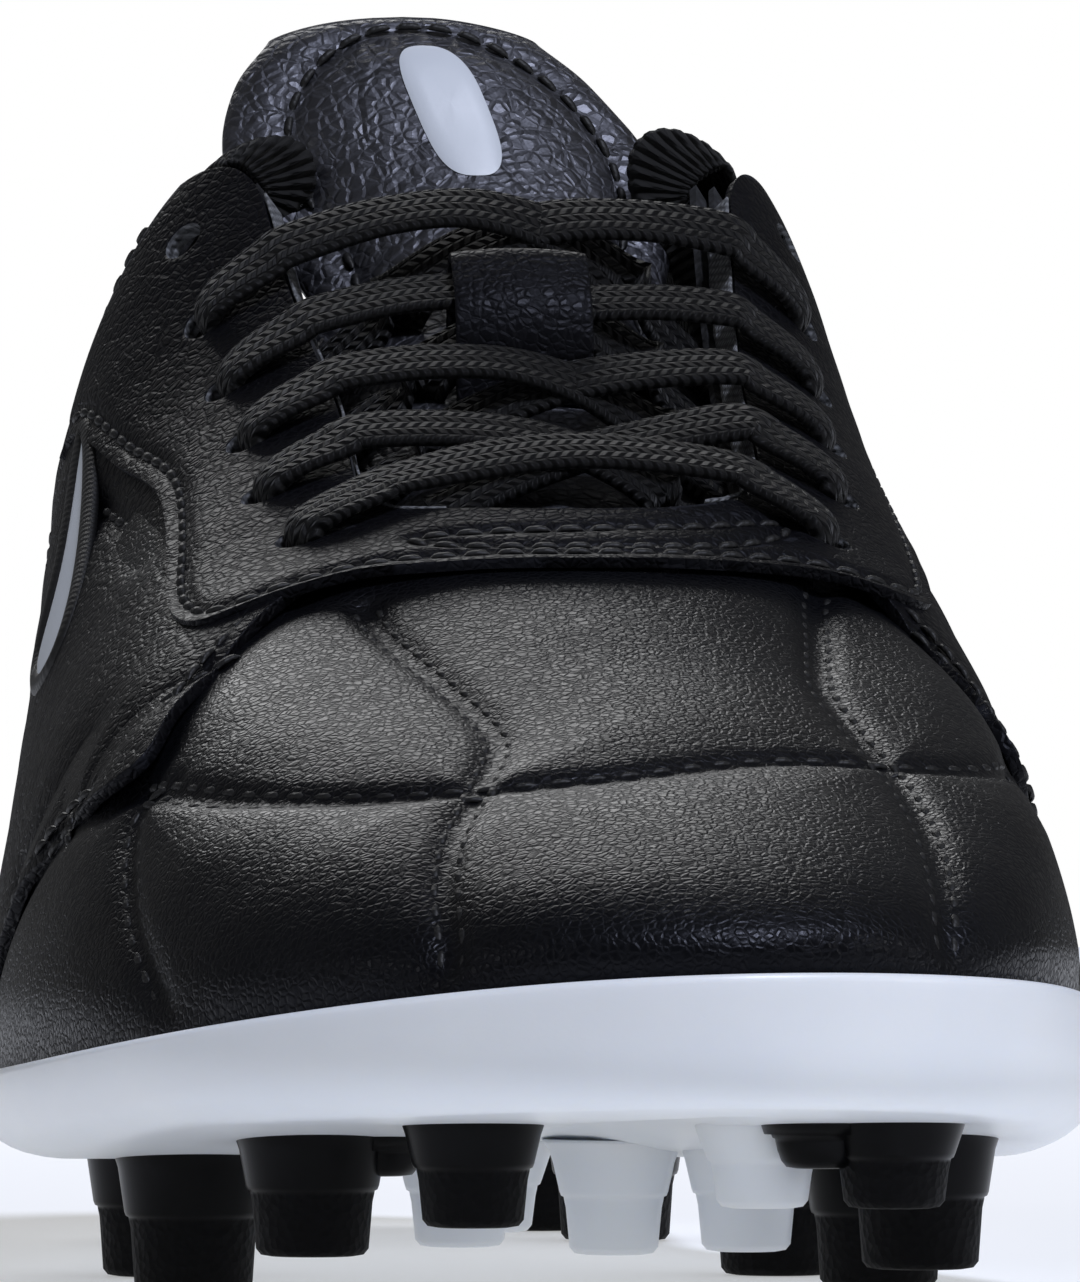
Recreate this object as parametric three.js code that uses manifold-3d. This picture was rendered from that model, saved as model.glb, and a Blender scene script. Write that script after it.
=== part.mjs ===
// Moulded-stud football boot, right foot. Millimetres, +Z up, toe towards -Y, big-toe side towards +X.
// The origin is at the centre of the boot's box on the ground.
import * as THREE from 'three';
import { mergeVertices } from 'three/addons/utils/BufferGeometryUtils.js';
import Module from 'manifold-3d';

const wasm = await Module();
wasm.setup();

// Driving dimensions.
const bootLength = 280;
const bootWidth = 101;
const upperHeight = 115; // plate underside to tongue top
const studHeight = 12;
const leatherThickness = 1.4;
const overlayThickness = 1.1;
const liningThickness = 0.9;
const stiffenerThickness = 1.1;
const foamThickness = 3.6;
const eyeletStayThickness = 0.7;
const boardThickness = 2;
const socklinerThickness = 3.5;
const tongueThickness = 4.6;
const plateRimThickness = 1.2;
const plateRimDepth = 5;
const eyeletDiameter = 6.2;
const eyeletInset = 9.5; // eyelet centre to throat edge, along the leather
const eyeletSpacing = 15.3;
const eyeletPairs = 6;
const lacedPairs = 5;
const laceWidth = 6.6;
const laceThickness = 1.5;
const lacePinch = 0.45; // share of the width left where the lace bunches in an eyelet
const agletLength = 16;
const agletDiameter = 3;
const layerGap = 0.35;
const overlayGap = 0.6;
const seamGap = 0.4;
const tongueHingeGap = 2.4;
const socklinerGap = 0.5;

// The shape table was drawn for these sizes; other sizes are graded from it.
const drawnLength = 280;
const drawnWidth = 101;
const drawnUpperHeight = 115;
const drawnPlateBase = 12;
const lengthGrade = bootLength / drawnLength;
const widthGrade = bootWidth / drawnWidth;
const heightGrade = upperHeight / drawnUpperHeight;
const boxShift = 0.1; // moves the drawn shape to the middle of its box across the foot

// Stations round the upper: heel, lateral side, toe, medial side.
// foot x y z | top x y z | lower handle out, up | upper handle out, down
const stations = [
  [0, 138, 26, 0, 131, 88, 3, 24, 7, 26],
  [-24, 123, 25, -22, 117, 84, 3, 22, 4, 22],
  [-33, 93, 23, -34, 92, 77, 4, 18, 4, 18],
  [-35.5, 62, 21, -37, 62, 88, 4, 22, 4, 22],
  [-40, 34, 20, -23.5, 45, 112, 3, 30, 21, 17],
  [-46.5, 6, 19.5, -17.5, 24, 99, 0, 28, 22, 11],
  [-50, -34, 20, -14.5, -3, 84, -2, 22, 24, 9],
  [-46.5, -76, 22, -13.5, -24, 74, -1, 18, 25, 8],
  [-34, -109, 25.5, -8, -33, 72, 0, 12, 38, 14],
  [-12, -131, 29, -1, -36, 72, 1, 10, 54, 23],
  [12, -138, 30.5, 5.5, -36.6, 72, 1, 10, 60, 26],
  [32, -127, 30, 12, -35.5, 72.2, 1, 10, 51, 24],
  [43, -104, 28.5, 19, -31.5, 73, 0, 10, 32, 15],
  [49, -72, 26.5, 24, -22, 75.5, -1, 15, 20, 9],
  [48.5, -40, 24.5, 25, -3, 84, -1, 18, 21, 8],
  [41, -5, 22.5, 26.5, 24, 99, 1, 24, 20, 11],
  [33, 28, 22, 29, 44, 112, 4, 28, 15, 18],
  [30, 60, 23, 35, 62, 90, 5, 24, 4, 22],
  [31, 93, 24, 33, 92, 78, 4, 18, 3, 18],
  [23, 123, 25.5, 21.5, 117, 84, 3, 22, 4, 22],
];
const stationCount = stations.length;
const toeStation = stationCount / 2;

// Every skin is cut into the same columns and rows, so that layers keep their gap.
const halfColumns = [
  0, 0.25, 0.5, 0.75, 1, 1.25, 1.5, 1.75, 2, 2.5, 3, 3.5, 3.75, 4, 4.25, 4.5, 5, 5.5, 6, 6.5,
  7, 7.25, 7.5, 7.75, 8, 8.25, 8.5, 8.75, 9, 9.25, 9.5, 9.75, 10,
];
const skinRows = [0, 0.12, 0.25, 0.4, 0.55, 0.7, 0.85, 1];
const columnClearance = 0.08;
const lateralSeam = 6.5;
const medialSeam = 13.5;
const lateralCollarEnd = 4.1;
const medialCollarEnd = 15.9;

function grade(row) {
  const rise = (z) => studHeight + (z - drawnPlateBase) * heightGrade;
  const across = (x) => (x + boxShift) * widthGrade;
  return [
    across(row[0]), row[1] * lengthGrade, rise(row[2]),
    across(row[3]), row[4] * lengthGrade, rise(row[5]),
    row[6] * widthGrade, row[7] * heightGrade, row[8] * widthGrade, row[9] * heightGrade,
  ];
}

// Control rows of the closed cubic spline that passes through the stations.
function splineThrough(rows) {
  const count = rows.length;
  let control = rows.map((row) => [...row]);
  for (let sweep = 0; sweep < 60; sweep += 1) {
    control = control.map((row, i) => {
      const before = control[(i + count - 1) % count];
      const after = control[(i + 1) % count];
      return row.map((value, k) => value + rows[i][k] - (before[k] + 4 * value + after[k]) / 6);
    });
  }
  return control;
}

const stationSpline = splineThrough(stations.map(grade));

function stationAt(u) {
  const wrapped = ((u % stationCount) + stationCount) % stationCount;
  const first = Math.floor(wrapped);
  const t = wrapped - first;
  const weights = [
    (1 - t) ** 3 / 6,
    (3 * t ** 3 - 6 * t ** 2 + 4) / 6,
    (-3 * t ** 3 + 3 * t ** 2 + 3 * t + 1) / 6,
    t ** 3 / 6,
  ];
  const row = new Array(10).fill(0);
  weights.forEach((weight, k) => {
    const source = stationSpline[(first + k + stationCount - 1) % stationCount];
    source.forEach((value, column) => {
      row[column] += weight * value;
    });
  });
  return row;
}

function outwardAt(u) {
  const before = stationAt(u - 0.01);
  const after = stationAt(u + 0.01);
  return new THREE.Vector3(after[1] - before[1], before[0] - after[0], 0).normalize();
}

function footPoint(u) {
  const row = stationAt(u);
  return new THREE.Vector3(row[0], row[1], row[2]);
}

// A point of the upper's outer face: a cubic curve from the foot edge (v = 0) to the top line (v = 1).
// Below v = 0 the skin runs straight down behind the plate's rim, one rim depth for each unit.
function facePoint(u, v) {
  const row = stationAt(u);
  const out = outwardAt(u);
  const foot = new THREE.Vector3(row[0], row[1], row[2]);
  if (v < 0) return foot.add(new THREE.Vector3(0, 0, v * plateRimDepth));
  const top = new THREE.Vector3(row[3], row[4], row[5]);
  const lower = foot.clone().addScaledVector(out, row[6]);
  lower.z += row[7];
  const upper = top.clone().addScaledVector(out, row[8]);
  upper.z -= row[9];
  return foot.multiplyScalar((1 - v) ** 3)
    .addScaledVector(lower, 3 * v * (1 - v) ** 2)
    .addScaledVector(upper, 3 * v * v * (1 - v))
    .addScaledVector(top, v ** 3);
}

function faceNormal(u, v) {
  if (v < 0) return outwardAt(u);
  const low = Math.max(0, v - 0.01);
  const high = Math.min(1, v + 0.01);
  const along = facePoint(u + 0.02, v).sub(facePoint(u - 0.02, v));
  const up = facePoint(u, high).sub(facePoint(u, low));
  return along.cross(up).normalize();
}

function skinPoint(u, v, offset) {
  return facePoint(u, v).addScaledVector(faceNormal(u, v), offset);
}

// The v that lies a given distance below the top line, measured along the leather.
function vBelowTop(u, distance) {
  const steps = 60;
  let previous = facePoint(u, 1);
  let walked = 0;
  for (let i = 1; i <= steps; i += 1) {
    const v = 1 - i / steps;
    const point = facePoint(u, v);
    const stride = point.distanceTo(previous);
    if (walked + stride >= distance) return v + (1 - (distance - walked) / stride) / steps;
    walked += stride;
    previous = point;
  }
  return 0;
}

function addQuad(triangles, a, b, c, d) {
  triangles.push(a, b, c, a, c, d);
}

// Joins a list of triangle corners into one closed geometry whose faces point out.
function closedGeometry(corners) {
  let volume = 0;
  for (let i = 0; i < corners.length; i += 3) {
    volume += corners[i].dot(corners[i + 1].clone().cross(corners[i + 2]));
  }
  const flat = [];
  for (let i = 0; i < corners.length; i += 3) {
    const order = volume > 0 ? [0, 1, 2] : [0, 2, 1];
    order.forEach((k) => flat.push(...corners[i + k].toArray()));
  }
  const loose = new THREE.BufferGeometry();
  loose.setAttribute('position', new THREE.Float32BufferAttribute(flat, 3));
  const merged = mergeVertices(loose, 1e-3);
  return dropSlivers(merged);
}

function dropSlivers(geometry) {
  const source = geometry.index.array;
  const kept = [];
  for (let i = 0; i < source.length; i += 3) {
    const [a, b, c] = [source[i], source[i + 1], source[i + 2]];
    if (a !== b && b !== c && a !== c) kept.push(a, b, c);
  }
  geometry.setIndex(kept);
  return geometry;
}

// A shell between two grids of points, closed along its four edges.
function shellBetween(front, back) {
  const rows = front.length - 1;
  const columns = front[0].length - 1;
  const corners = [];
  for (let i = 0; i < rows; i += 1) {
    for (let j = 0; j < columns; j += 1) {
      addQuad(corners, front[i][j], front[i + 1][j], front[i + 1][j + 1], front[i][j + 1]);
      addQuad(corners, back[i][j], back[i][j + 1], back[i + 1][j + 1], back[i + 1][j]);
    }
  }
  for (let i = 0; i < rows; i += 1) {
    addQuad(corners, front[i][0], back[i][0], back[i + 1][0], front[i + 1][0]);
    addQuad(corners, front[i][columns], front[i + 1][columns], back[i + 1][columns], back[i][columns]);
  }
  for (let j = 0; j < columns; j += 1) {
    addQuad(corners, front[0][j], front[0][j + 1], back[0][j + 1], back[0][j]);
    addQuad(corners, front[rows][j], back[rows][j], back[rows][j + 1], front[rows][j + 1]);
  }
  return closedGeometry(corners);
}

function columnsBetween(start, end) {
  const turns = [-1, 0, 1].flatMap((turn) => [
    ...halfColumns.map((u) => u + turn * stationCount),
    ...halfColumns.slice(1, -1).reverse().map((u) => (turn + 1) * stationCount - u),
  ]);
  const inside = turns.filter((u) => u > start + columnClearance && u < end - columnClearance);
  return [start, ...inside, end];
}

function rowsBetween(low, high, rows) {
  if (rows) return Array.from({ length: rows + 1 }, (_, j) => low + (high - low) * (j / rows));
  return [low, ...skinRows.filter((v) => v > low + 0.01 && v < high - 0.01), high];
}

// A piece of skin between two stations and two heights, with its own outer and inner offset.
// Where the heights vary along the piece, rows says how many equal rows it is cut into.
function skinPanel({ start, end, low, high, rows, outer, inner }) {
  const grid = (offset) => columnsBetween(start, end).map((u) => {
    return rowsBetween(low(u), high(u), rows).map((v) => {
      const depth = typeof offset === 'function' ? offset(u, v) : offset;
      return skinPoint(u, v, depth);
    });
  });
  return shellBetween(grid(outer), grid(inner));
}

function gapInStations(u) {
  return seamGap / 2 / (footPoint(u + 0.5).distanceTo(footPoint(u - 0.5)));
}

function smoothStep(value, low, high) {
  const t = Math.min(1, Math.max(0, (value - low) / (high - low)));
  return t * t * (3 - 2 * t);
}

function toSolid(geometry) {
  const plain = new THREE.BufferGeometry();
  plain.setAttribute('position', geometry.getAttribute('position').clone());
  if (geometry.index) plain.setIndex(geometry.index.clone());
  const merged = dropSlivers(mergeVertices(plain, 1e-3));
  return new wasm.Manifold(new wasm.Mesh({
    numProp: 3,
    vertProperties: new Float32Array(merged.getAttribute('position').array),
    triVerts: new Uint32Array(merged.index.array),
  }));
}

function toGeometry(solid) {
  const mesh = solid.getMesh();
  const geometry = new THREE.BufferGeometry();
  geometry.setAttribute('position', new THREE.BufferAttribute(new Float32Array(mesh.vertProperties), 3));
  geometry.setIndex(new THREE.BufferAttribute(new Uint32Array(mesh.triVerts), 1));
  return geometry;
}

// Eyelets: one row each side of the throat, stepped along the leather from the toe end.
const eyeletRows = {
  lateral: { first: 7.3, heading: -1 },
  medial: { first: 12.6, heading: 1 },
};

function eyeletTrack(side) {
  const { first, heading } = eyeletRows[side];
  const stride = 0.02;
  const track = [{ u: first, walked: 0 }];
  let previous = skinPoint(first, vBelowTop(first, eyeletInset), 0);
  while (track[track.length - 1].walked < eyeletSpacing * eyeletPairs) {
    const u = track[track.length - 1].u + heading * stride;
    const point = skinPoint(u, vBelowTop(u, eyeletInset), 0);
    track.push({ u, walked: track[track.length - 1].walked + point.distanceTo(previous) });
    previous = point;
  }
  return track;
}

const eyeletTracks = { lateral: eyeletTrack('lateral'), medial: eyeletTrack('medial') };

function eyeletStation(side, index) {
  const wanted = index * eyeletSpacing;
  return eyeletTracks[side].find((step) => step.walked >= wanted).u;
}

function eyeletPin(side, index) {
  const u = eyeletStation(side, index);
  const v = vBelowTop(u, eyeletInset);
  const pin = new THREE.CylinderGeometry(eyeletDiameter / 2, eyeletDiameter / 2, 20, 8);
  const turn = new THREE.Quaternion().setFromUnitVectors(new THREE.Vector3(0, 1, 0), faceNormal(u, v));
  const place = new THREE.Matrix4().makeRotationFromQuaternion(turn);
  place.setPosition(skinPoint(u, v, -1));
  pin.applyMatrix4(place);
  return toSolid(pin);
}

function punchEyelets(geometry, sides) {
  let solid = toSolid(geometry);
  sides.forEach((side) => {
    for (let i = 0; i < eyeletPairs; i += 1) solid = solid.subtract(eyeletPin(side, i));
  });
  return toGeometry(solid);
}

// Upper: vamp and quarters.
const skinFoot = () => -0.8;
const skinTop = () => 1;

function makeVamp() {
  const panel = skinPanel({
    start: lateralSeam + gapInStations(lateralSeam),
    end: medialSeam - gapInStations(medialSeam),
    low: skinFoot, high: skinTop, outer: 0, inner: -leatherThickness,
  });
  return punchEyelets(panel, ['lateral', 'medial']);
}

function makeQuarter(side) {
  const lateral = side === 'lateral';
  const start = lateral ? gapInStations(0) : medialSeam + gapInStations(medialSeam);
  const end = lateral ? lateralSeam - gapInStations(lateralSeam) : stationCount - gapInStations(0);
  const panel = skinPanel({ start, end, low: skinFoot, high: skinTop,
    outer: 0, inner: -leatherThickness });
  return punchEyelets(panel, [side]);
}

// Facing: the U-shaped overlay round the throat that carries the eyelets.
function facingWidth(u) {
  const sides = 25 - 12 * smoothStep(u, 6.8, 8.8);
  return u < toeStation ? sides : 13 + 10 * smoothStep(u, 11.6, 13.4);
}

function makeFacing() {
  const panel = skinPanel({
    start: lateralCollarEnd, end: medialCollarEnd,
    low: (u) => vBelowTop(u, facingWidth(u)), high: skinTop, rows: 4,
    outer: overlayGap + overlayThickness, inner: overlayGap,
  });
  return punchEyelets(panel, ['lateral', 'medial']);
}

function makeEyeletStay(side) {
  const lateral = side === 'lateral';
  const panel = skinPanel({
    start: lateral ? 4.3 : 12.1, end: lateral ? 7.8 : 15.85,
    low: (u) => vBelowTop(u, eyeletInset + 6), high: (u) => vBelowTop(u, 1.5), rows: 2,
    outer: -leatherThickness - overlayGap, inner: -leatherThickness - overlayGap - eyeletStayThickness,
  });
  return punchEyelets(panel, [side]);
}

const stiffenerOuter = -leatherThickness - layerGap;
const stiffenerInner = stiffenerOuter - stiffenerThickness;
const liningOuter = stiffenerInner - layerGap;

function makeToePuff() {
  return skinPanel({ start: 7.6, end: 12.4, low: () => -0.6, high: () => 0.4,
    outer: stiffenerOuter, inner: stiffenerInner });
}

function makeHeelCounter() {
  return skinPanel({ start: -2.75, end: 2.75, low: () => -0.6, high: () => 0.55,
    outer: stiffenerOuter, inner: stiffenerInner });
}

// Collar: foam behind the quarters near the top line, covered by the knit lining.
const foamDrop = 27; // how far the foam reaches down from the top line
const foamEase = 0.6;

function makeCollarFoam() {
  const taper = (u) => smoothStep(Math.abs(u), 4, 3.2);
  const swell = foamThickness - stiffenerThickness;
  return skinPanel({ start: -3.95, end: 3.95, low: (u) => vBelowTop(u, foamDrop - 3),
    high: (u) => vBelowTop(u, 3), rows: 5, outer: stiffenerOuter - foamEase,
    inner: (u) => stiffenerInner - swell * (1 - taper(u)) });
}

function liningDepth(u, v) {
  const drop = vBelowTop(u, foamDrop + 8);
  const start = vBelowTop(u, foamDrop - 2);
  return liningOuter - (foamThickness - stiffenerThickness) * smoothStep(v, drop, start);
}

const liningFoot = () => -0.5;
const liningSeam = 4.2; // stations from the heel to the seam on either side

function makeCollarLining() {
  return skinPanel({
    start: -liningSeam + gapInStations(0), end: liningSeam - gapInStations(0),
    low: liningFoot, high: skinTop,
    outer: liningDepth, inner: (u, v) => liningDepth(u, v) - liningThickness,
  });
}

function makeVampLining() {
  const panel = skinPanel({
    start: liningSeam + gapInStations(0), end: stationCount - liningSeam - gapInStations(0),
    low: liningFoot, high: skinTop,
    outer: liningOuter, inner: liningOuter - liningThickness,
  });
  return punchEyelets(panel, ['lateral', 'medial']);
}

function makeHeelStrip() {
  return skinPanel({ start: -0.5, end: 0.5, low: () => 0.03, high: () => 0.99,
    outer: overlayGap + overlayThickness, inner: overlayGap });
}

function makeSidePatch(side) {
  const middle = side === 'lateral' ? 4.75 : 15.25;
  return skinPanel({ start: middle - 0.7, end: middle + 0.7, low: () => 0.24,
    high: (u) => Math.min(0.56, vBelowTop(u, facingWidth(u)) - 0.03), rows: 4,
    outer: overlayGap + overlayThickness, inner: overlayGap });
}

// Floor pieces: rings from the foot edge to a spine along the middle of the sole.
const spineShare = 0.84; // the spine's length as a share of the sole's
const halfWay = 0.55; // the 'half' ring, as a share of the way in to the spine
const squareInset = 8; // nearer the edge than this, insets run square to it
const innerInset = 8.5;

function spinePoint(u) {
  const mirrored = Math.min(u, stationCount - u);
  const lateral = footPoint(mirrored);
  const medial = footPoint(stationCount - mirrored);
  const middle = lateral.add(medial).multiplyScalar(0.5);
  middle.y *= spineShare;
  return middle;
}

// profile(u, y) returns [inset, z] pairs from the spine underneath, out to the edge and back over the top.
// inset is a distance in from the foot edge, or 'spine', or 'half' for half-way to the spine.
function floorSolid(profile) {
  const ring = [];
  const columns = [...halfColumns, ...halfColumns.slice(1, -1).reverse().map((u) => stationCount - u)];
  columns.forEach((u) => {
    const foot = footPoint(u);
    const spine = spinePoint(u);
    const inward = spine.clone().sub(foot).setZ(0);
    const reach = inward.length();
    ring.push(profile(u, foot, spine).map(([inset, z]) => {
      const shares = { spine: 1, half: halfWay };
      const share = inset in shares ? shares[inset] : inset / reach;
      const point = foot.clone().addScaledVector(inward, share);
      if (typeof inset === 'number' && inset < squareInset) {
        point.copy(foot).addScaledVector(outwardAt(u), -inset);
      }
      return point.setZ(typeof z === 'function' ? z(point, share) : z);
    }));
  });
  const corners = [];
  for (let i = 0; i < ring.length; i += 1) {
    const next = ring[(i + 1) % ring.length];
    for (let j = 0; j < ring[i].length - 1; j += 1) {
      addQuad(corners, ring[i][j], next[j], next[j + 1], ring[i][j + 1]);
    }
  }
  return closedGeometry(corners);
}

// Height of the plate's underside along the boot, from toe to heel.
const plateLine = [
  [-140, 19], [-118, 17.5], [-98, 16.4], [-78, 14.4], [-52, 12.3],
  [-20, 12], [10, 13.4], [40, 14], [70, 12.6], [100, 12], [140, 12.6],
];

function plateUnderside(y) {
  const drawnY = y / lengthGrade;
  let i = 0;
  while (i < plateLine.length - 2 && plateLine[i + 1][0] < drawnY) i += 1;
  const [y0, z0] = plateLine[i];
  const [y1, z1] = plateLine[i + 1];
  const t = Math.min(1, Math.max(0, (drawnY - y0) / (y1 - y0)));
  const z = z0 + (z1 - z0) * t;
  return studHeight + (z - drawnPlateBase) * heightGrade;
}

function bedHeight(foot, spine, share) {
  return foot.z - plateRimDepth + (spine.z - foot.z - 0.5) * Math.min(1, Math.max(0, share));
}

function makePlateBlank() {
  return floorSolid((u, foot, spine) => {
    const bed = (point, share) => bedHeight(foot, spine, share);
    const under = (point) => plateUnderside(point.y);
    const rimOut = -layerGap - plateRimThickness;
    return [
      ['spine', (point) => under(point) + 1.2],
      ['half', under],
      [innerInset, under],
      [4, (point) => under(point) + 1.4],
      [0.8, (point) => under(point) + 4],
      [rimOut, (point) => Math.min(under(point) + 7.5, foot.z - 1.6)],
      [rimOut, foot.z - 0.6],
      [rimOut + 0.4, foot.z],
      [-layerGap, foot.z],
      [-layerGap, foot.z - plateRimDepth],
      [innerInset, bed],
      ['half', bed],
      ['spine', bed],
    ];
  });
}

function slab(edgeInset, lift, thickness) {
  return floorSolid((u, foot, spine) => {
    const base = (point, share) => bedHeight(foot, spine, share) + lift;
    const top = (point, share) => base(point, share) + thickness;
    return [
      ['spine', base], ['half', base], [edgeInset, base],
      [edgeInset, top], ['half', top], ['spine', top],
    ];
  });
}

const boardInset = -liningOuter + liningThickness + socklinerGap;
const boardLift = 0.45;
const socklinerLift = boardLift + boardThickness + 0.4;
const socklinerEase = 3;
const socklinerSplit = -8; // the flex line across the waist where the heel part peels up
const socklinerSplitGap = 1.2;

function makeSockliner(part) {
  const whole = toSolid(slab(boardInset + socklinerEase, socklinerLift, socklinerThickness));
  const flexLine = socklinerSplit * lengthGrade;
  const half = bootLength;
  const block = new THREE.BoxGeometry(half, half, half);
  const towards = part === 'heel' ? -1 : 1;
  const gap = part === 'heel' ? socklinerSplitGap : 0;
  block.translate(0, flexLine + gap + towards * (half / 2), 0);
  return toGeometry(whole.subtract(toSolid(block)));
}

// Studs: name, x, y, tip height, tip radius.
const studTable = [
  ['stud_lateral_1', -10, -100, 7.4, 4.6],
  ['stud_lateral_2', -23, -81, 4.2, 5.2],
  ['stud_lateral_3', -32, -52, 0, 5.6],
  ['stud_lateral_4', -33, -17, 0, 5.6],
  ['stud_medial_1', 28, -100, 9, 4.6],
  ['stud_medial_2', 33, -80, 2.8, 5.4],
  ['stud_medial_3', 33, -50, 0, 5.6],
  ['stud_medial_4', 27, -20, 0, 5.6],
  ['stud_heel_lateral_1', -23, 76, 0, 5.8],
  ['stud_heel_lateral_2', -17, 109, 0, 5.8],
  ['stud_heel_medial_1', 21, 76, 0, 5.8],
  ['stud_heel_medial_2', 16, 109, 0, 5.8],
];
// x, y, tip height
const centreStuds = [[-8, -64, 4.4], [7, -58, 3.4], [19, -62, 3.8], [17, -92, 8.8], [-2, -28, 4.5]];
const studStepRatio = 0.46; // where the rough lower half ends
const centreStudRadius = 4.4;
const studSides = 12;

function studSolid(x, y, tip, tipRadius) {
  const place = { x: (x + boxShift) * widthGrade, y: y * lengthGrade };
  const ground = studHeight * (tip / drawnPlateBase);
  const top = plateUnderside(place.y) + 1.8;
  const step = ground + (top - ground) * studStepRatio;
  const profile = [
    [0, ground], [tipRadius - 0.5, ground], [tipRadius, ground + 0.6],
    [tipRadius + 0.6, step], [tipRadius + 1.3, step + 0.8],
    [tipRadius + 2.4, top], [0, top],
  ].map(([radius, z]) => new THREE.Vector2(radius, z));
  const lathe = new THREE.LatheGeometry(profile, studSides);
  lathe.rotateX(Math.PI / 2);
  lathe.translate(place.x, place.y, 0);
  return toSolid(lathe);
}

function makePlate() {
  let plate = toSolid(makePlateBlank());
  centreStuds.forEach(([x, y, tip]) => {
    plate = plate.add(studSolid(x, y, tip, centreStudRadius));
  });
  return plate;
}

// Tongue: sections along the boot, from the stitched end under the throat to the top edge.
// y | centre x | crown z | half width | drop of the edges
const tongueSections = [
  [-50, 5, 58, 20, 5],
  [-34, 5, 64, 24, 9],
  [-10, 5, 75.5, 26, 12],
  [10, 5, 86, 26.5, 13],
  [22, 4.6, 93, 26, 13],
  [32, 4.4, 100, 21, 9],
  [38, 4, 105.5, 18, 7],
  [45, 3, 112, 19.5, 7],
  [52, 1.5, 119.5, 23, 6],
  [57, 0.8, 125, 17, 3],
  [58.5, 0.5, 127, 10, 1],
];
const tongueHingeSection = 5; // the flap begins at this section
const tongueColumns = 8;

// The tongue sinks when the facing, the linings or the lace above it get thicker, or the lace wider.
const drawnStack = 7.3;
const laceCamber = 0.3; // how far a strand dips across its width, as a share of the width
const tongueSink = leatherThickness + stiffenerThickness + liningThickness + 2 * layerGap
  + laceThickness + laceCamber * laceWidth - drawnStack;

function tonguePoint(sectionIndex, across, depth) {
  const last = tongueSections.length - 1;
  const index = Math.min(last - 1, Math.floor(sectionIndex));
  const t = sectionIndex - index;
  const pick = (k) => tongueSections[index][k] * (1 - t) + tongueSections[index + 1][k] * t;
  const before = tongueSections[Math.max(0, index)];
  const after = tongueSections[index + 1];
  const slope = new THREE.Vector2(after[0] - before[0], after[2] - before[2]).normalize();
  const edge = across * across;
  const turn = Math.atan2(2 * pick(4) * across, pick(3));
  const normal = new THREE.Vector3(Math.sin(turn), -slope.y * Math.cos(turn), slope.x * Math.cos(turn));
  const x = (pick(1) + boxShift) * widthGrade + across * pick(3) * widthGrade;
  const rise = (z) => studHeight + (z - drawnPlateBase) * heightGrade;
  const point = new THREE.Vector3(x, pick(0) * lengthGrade, rise(pick(2) - pick(4) * edge));
  return point.addScaledVector(normal, -depth - tongueSink);
}

function tongueSectionAt(y) {
  const drawnY = y / lengthGrade;
  const index = tongueSections.findIndex((row) => row[0] > drawnY);
  const [y0] = tongueSections[index - 1];
  return index - 1 + (drawnY - y0) / (tongueSections[index][0] - y0);
}

function crownAt(y) {
  return tonguePoint(tongueSectionAt(y), 0, 0).z;
}

function crownNormal(y) {
  const reach = 4;
  return new THREE.Vector3(0, crownAt(y - reach) - crownAt(y + reach), 2 * reach).normalize();
}

function tonguePiece(sectionList, depthOut, depthIn, halfAcross = 1) {
  const grid = (depth) => sectionList.map((section) => (
    Array.from({ length: tongueColumns + 1 }, (_, j) => {
      const across = halfAcross * (2 * j / tongueColumns - 1);
      const thin = 1 - 0.55 * Math.abs(across) ** 4;
      return tonguePoint(section, across, depth * thin);
    })
  ));
  return shellBetween(grid(depthOut), grid(depthIn));
}

function sectionsBetween(start, end) {
  const list = [start];
  for (let k = Math.floor(start) + 1; k < end; k += 1) list.push(k);
  list.push(end);
  return list;
}

const hingeSectionLength = 9; // along the tongue, between the sections either side of the hinge
const tongueHingeStep = tongueHingeGap / hingeSectionLength;

function makeTongueLower() {
  return tonguePiece(sectionsBetween(0, tongueHingeSection - tongueHingeStep), 0, tongueThickness);
}

function makeTongueFlap() {
  return tonguePiece(sectionsBetween(tongueHingeSection, tongueSections.length - 1), 0, tongueThickness);
}

function makeTongueLabel() {
  return tonguePiece([7.2, 7.6, 8, 8.4], -layerGap - 0.6, -layerGap, 0.45);
}

// Lace keeper: a leather loop standing over the crossing that it holds down.
const keeperCrossing = 2;
const keeperWidth = 13;
const keeperReach = eyeletSpacing - 0.3; // along the tongue, foot to foot
const keeperHeight = 1.5 + 3 * laceThickness + laceCamber * laceWidth;
const tongueHalfWidth = 27; // where the keeper stands

function makeLaceKeeper() {
  const middle = crossingMiddle(keeperCrossing).y;
  const profile = [[-1, 0], [-0.86, 0.6], [-0.6, 1], [0, 1.05], [0.6, 1], [0.86, 0.6], [1, 0]];
  const grid = (extra) => profile.map(([along, height]) => {
    const section = tongueSectionAt(middle + along * keeperReach / 2);
    return [-1, -0.33, 0.33, 1].map((share) => {
      const across = share * keeperWidth / 2 / tongueHalfWidth;
      return tonguePoint(section, across, -layerGap - height * keeperHeight - extra);
    });
  });
  return shellBetween(grid(overlayThickness), grid(0));
}

// Lace: one flat braid. Each key holds a point, the direction its flat face looks in, and a bunching share.
function laceKey(point, face, bunch = 0) {
  return { point, face, bunch };
}

function throatPoint(u, beyond, offset) {
  const edge = facePoint(u, 1);
  const inwards = edge.clone().sub(facePoint(u, 0.93)).normalize();
  return edge.addScaledVector(inwards, beyond).addScaledVector(faceNormal(u, 1), offset);
}

const laceOver = overlayGap + overlayThickness + laceThickness / 2 + 0.8;
const laceUnder = liningOuter - liningThickness - laceThickness / 2 - 1.1;

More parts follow.
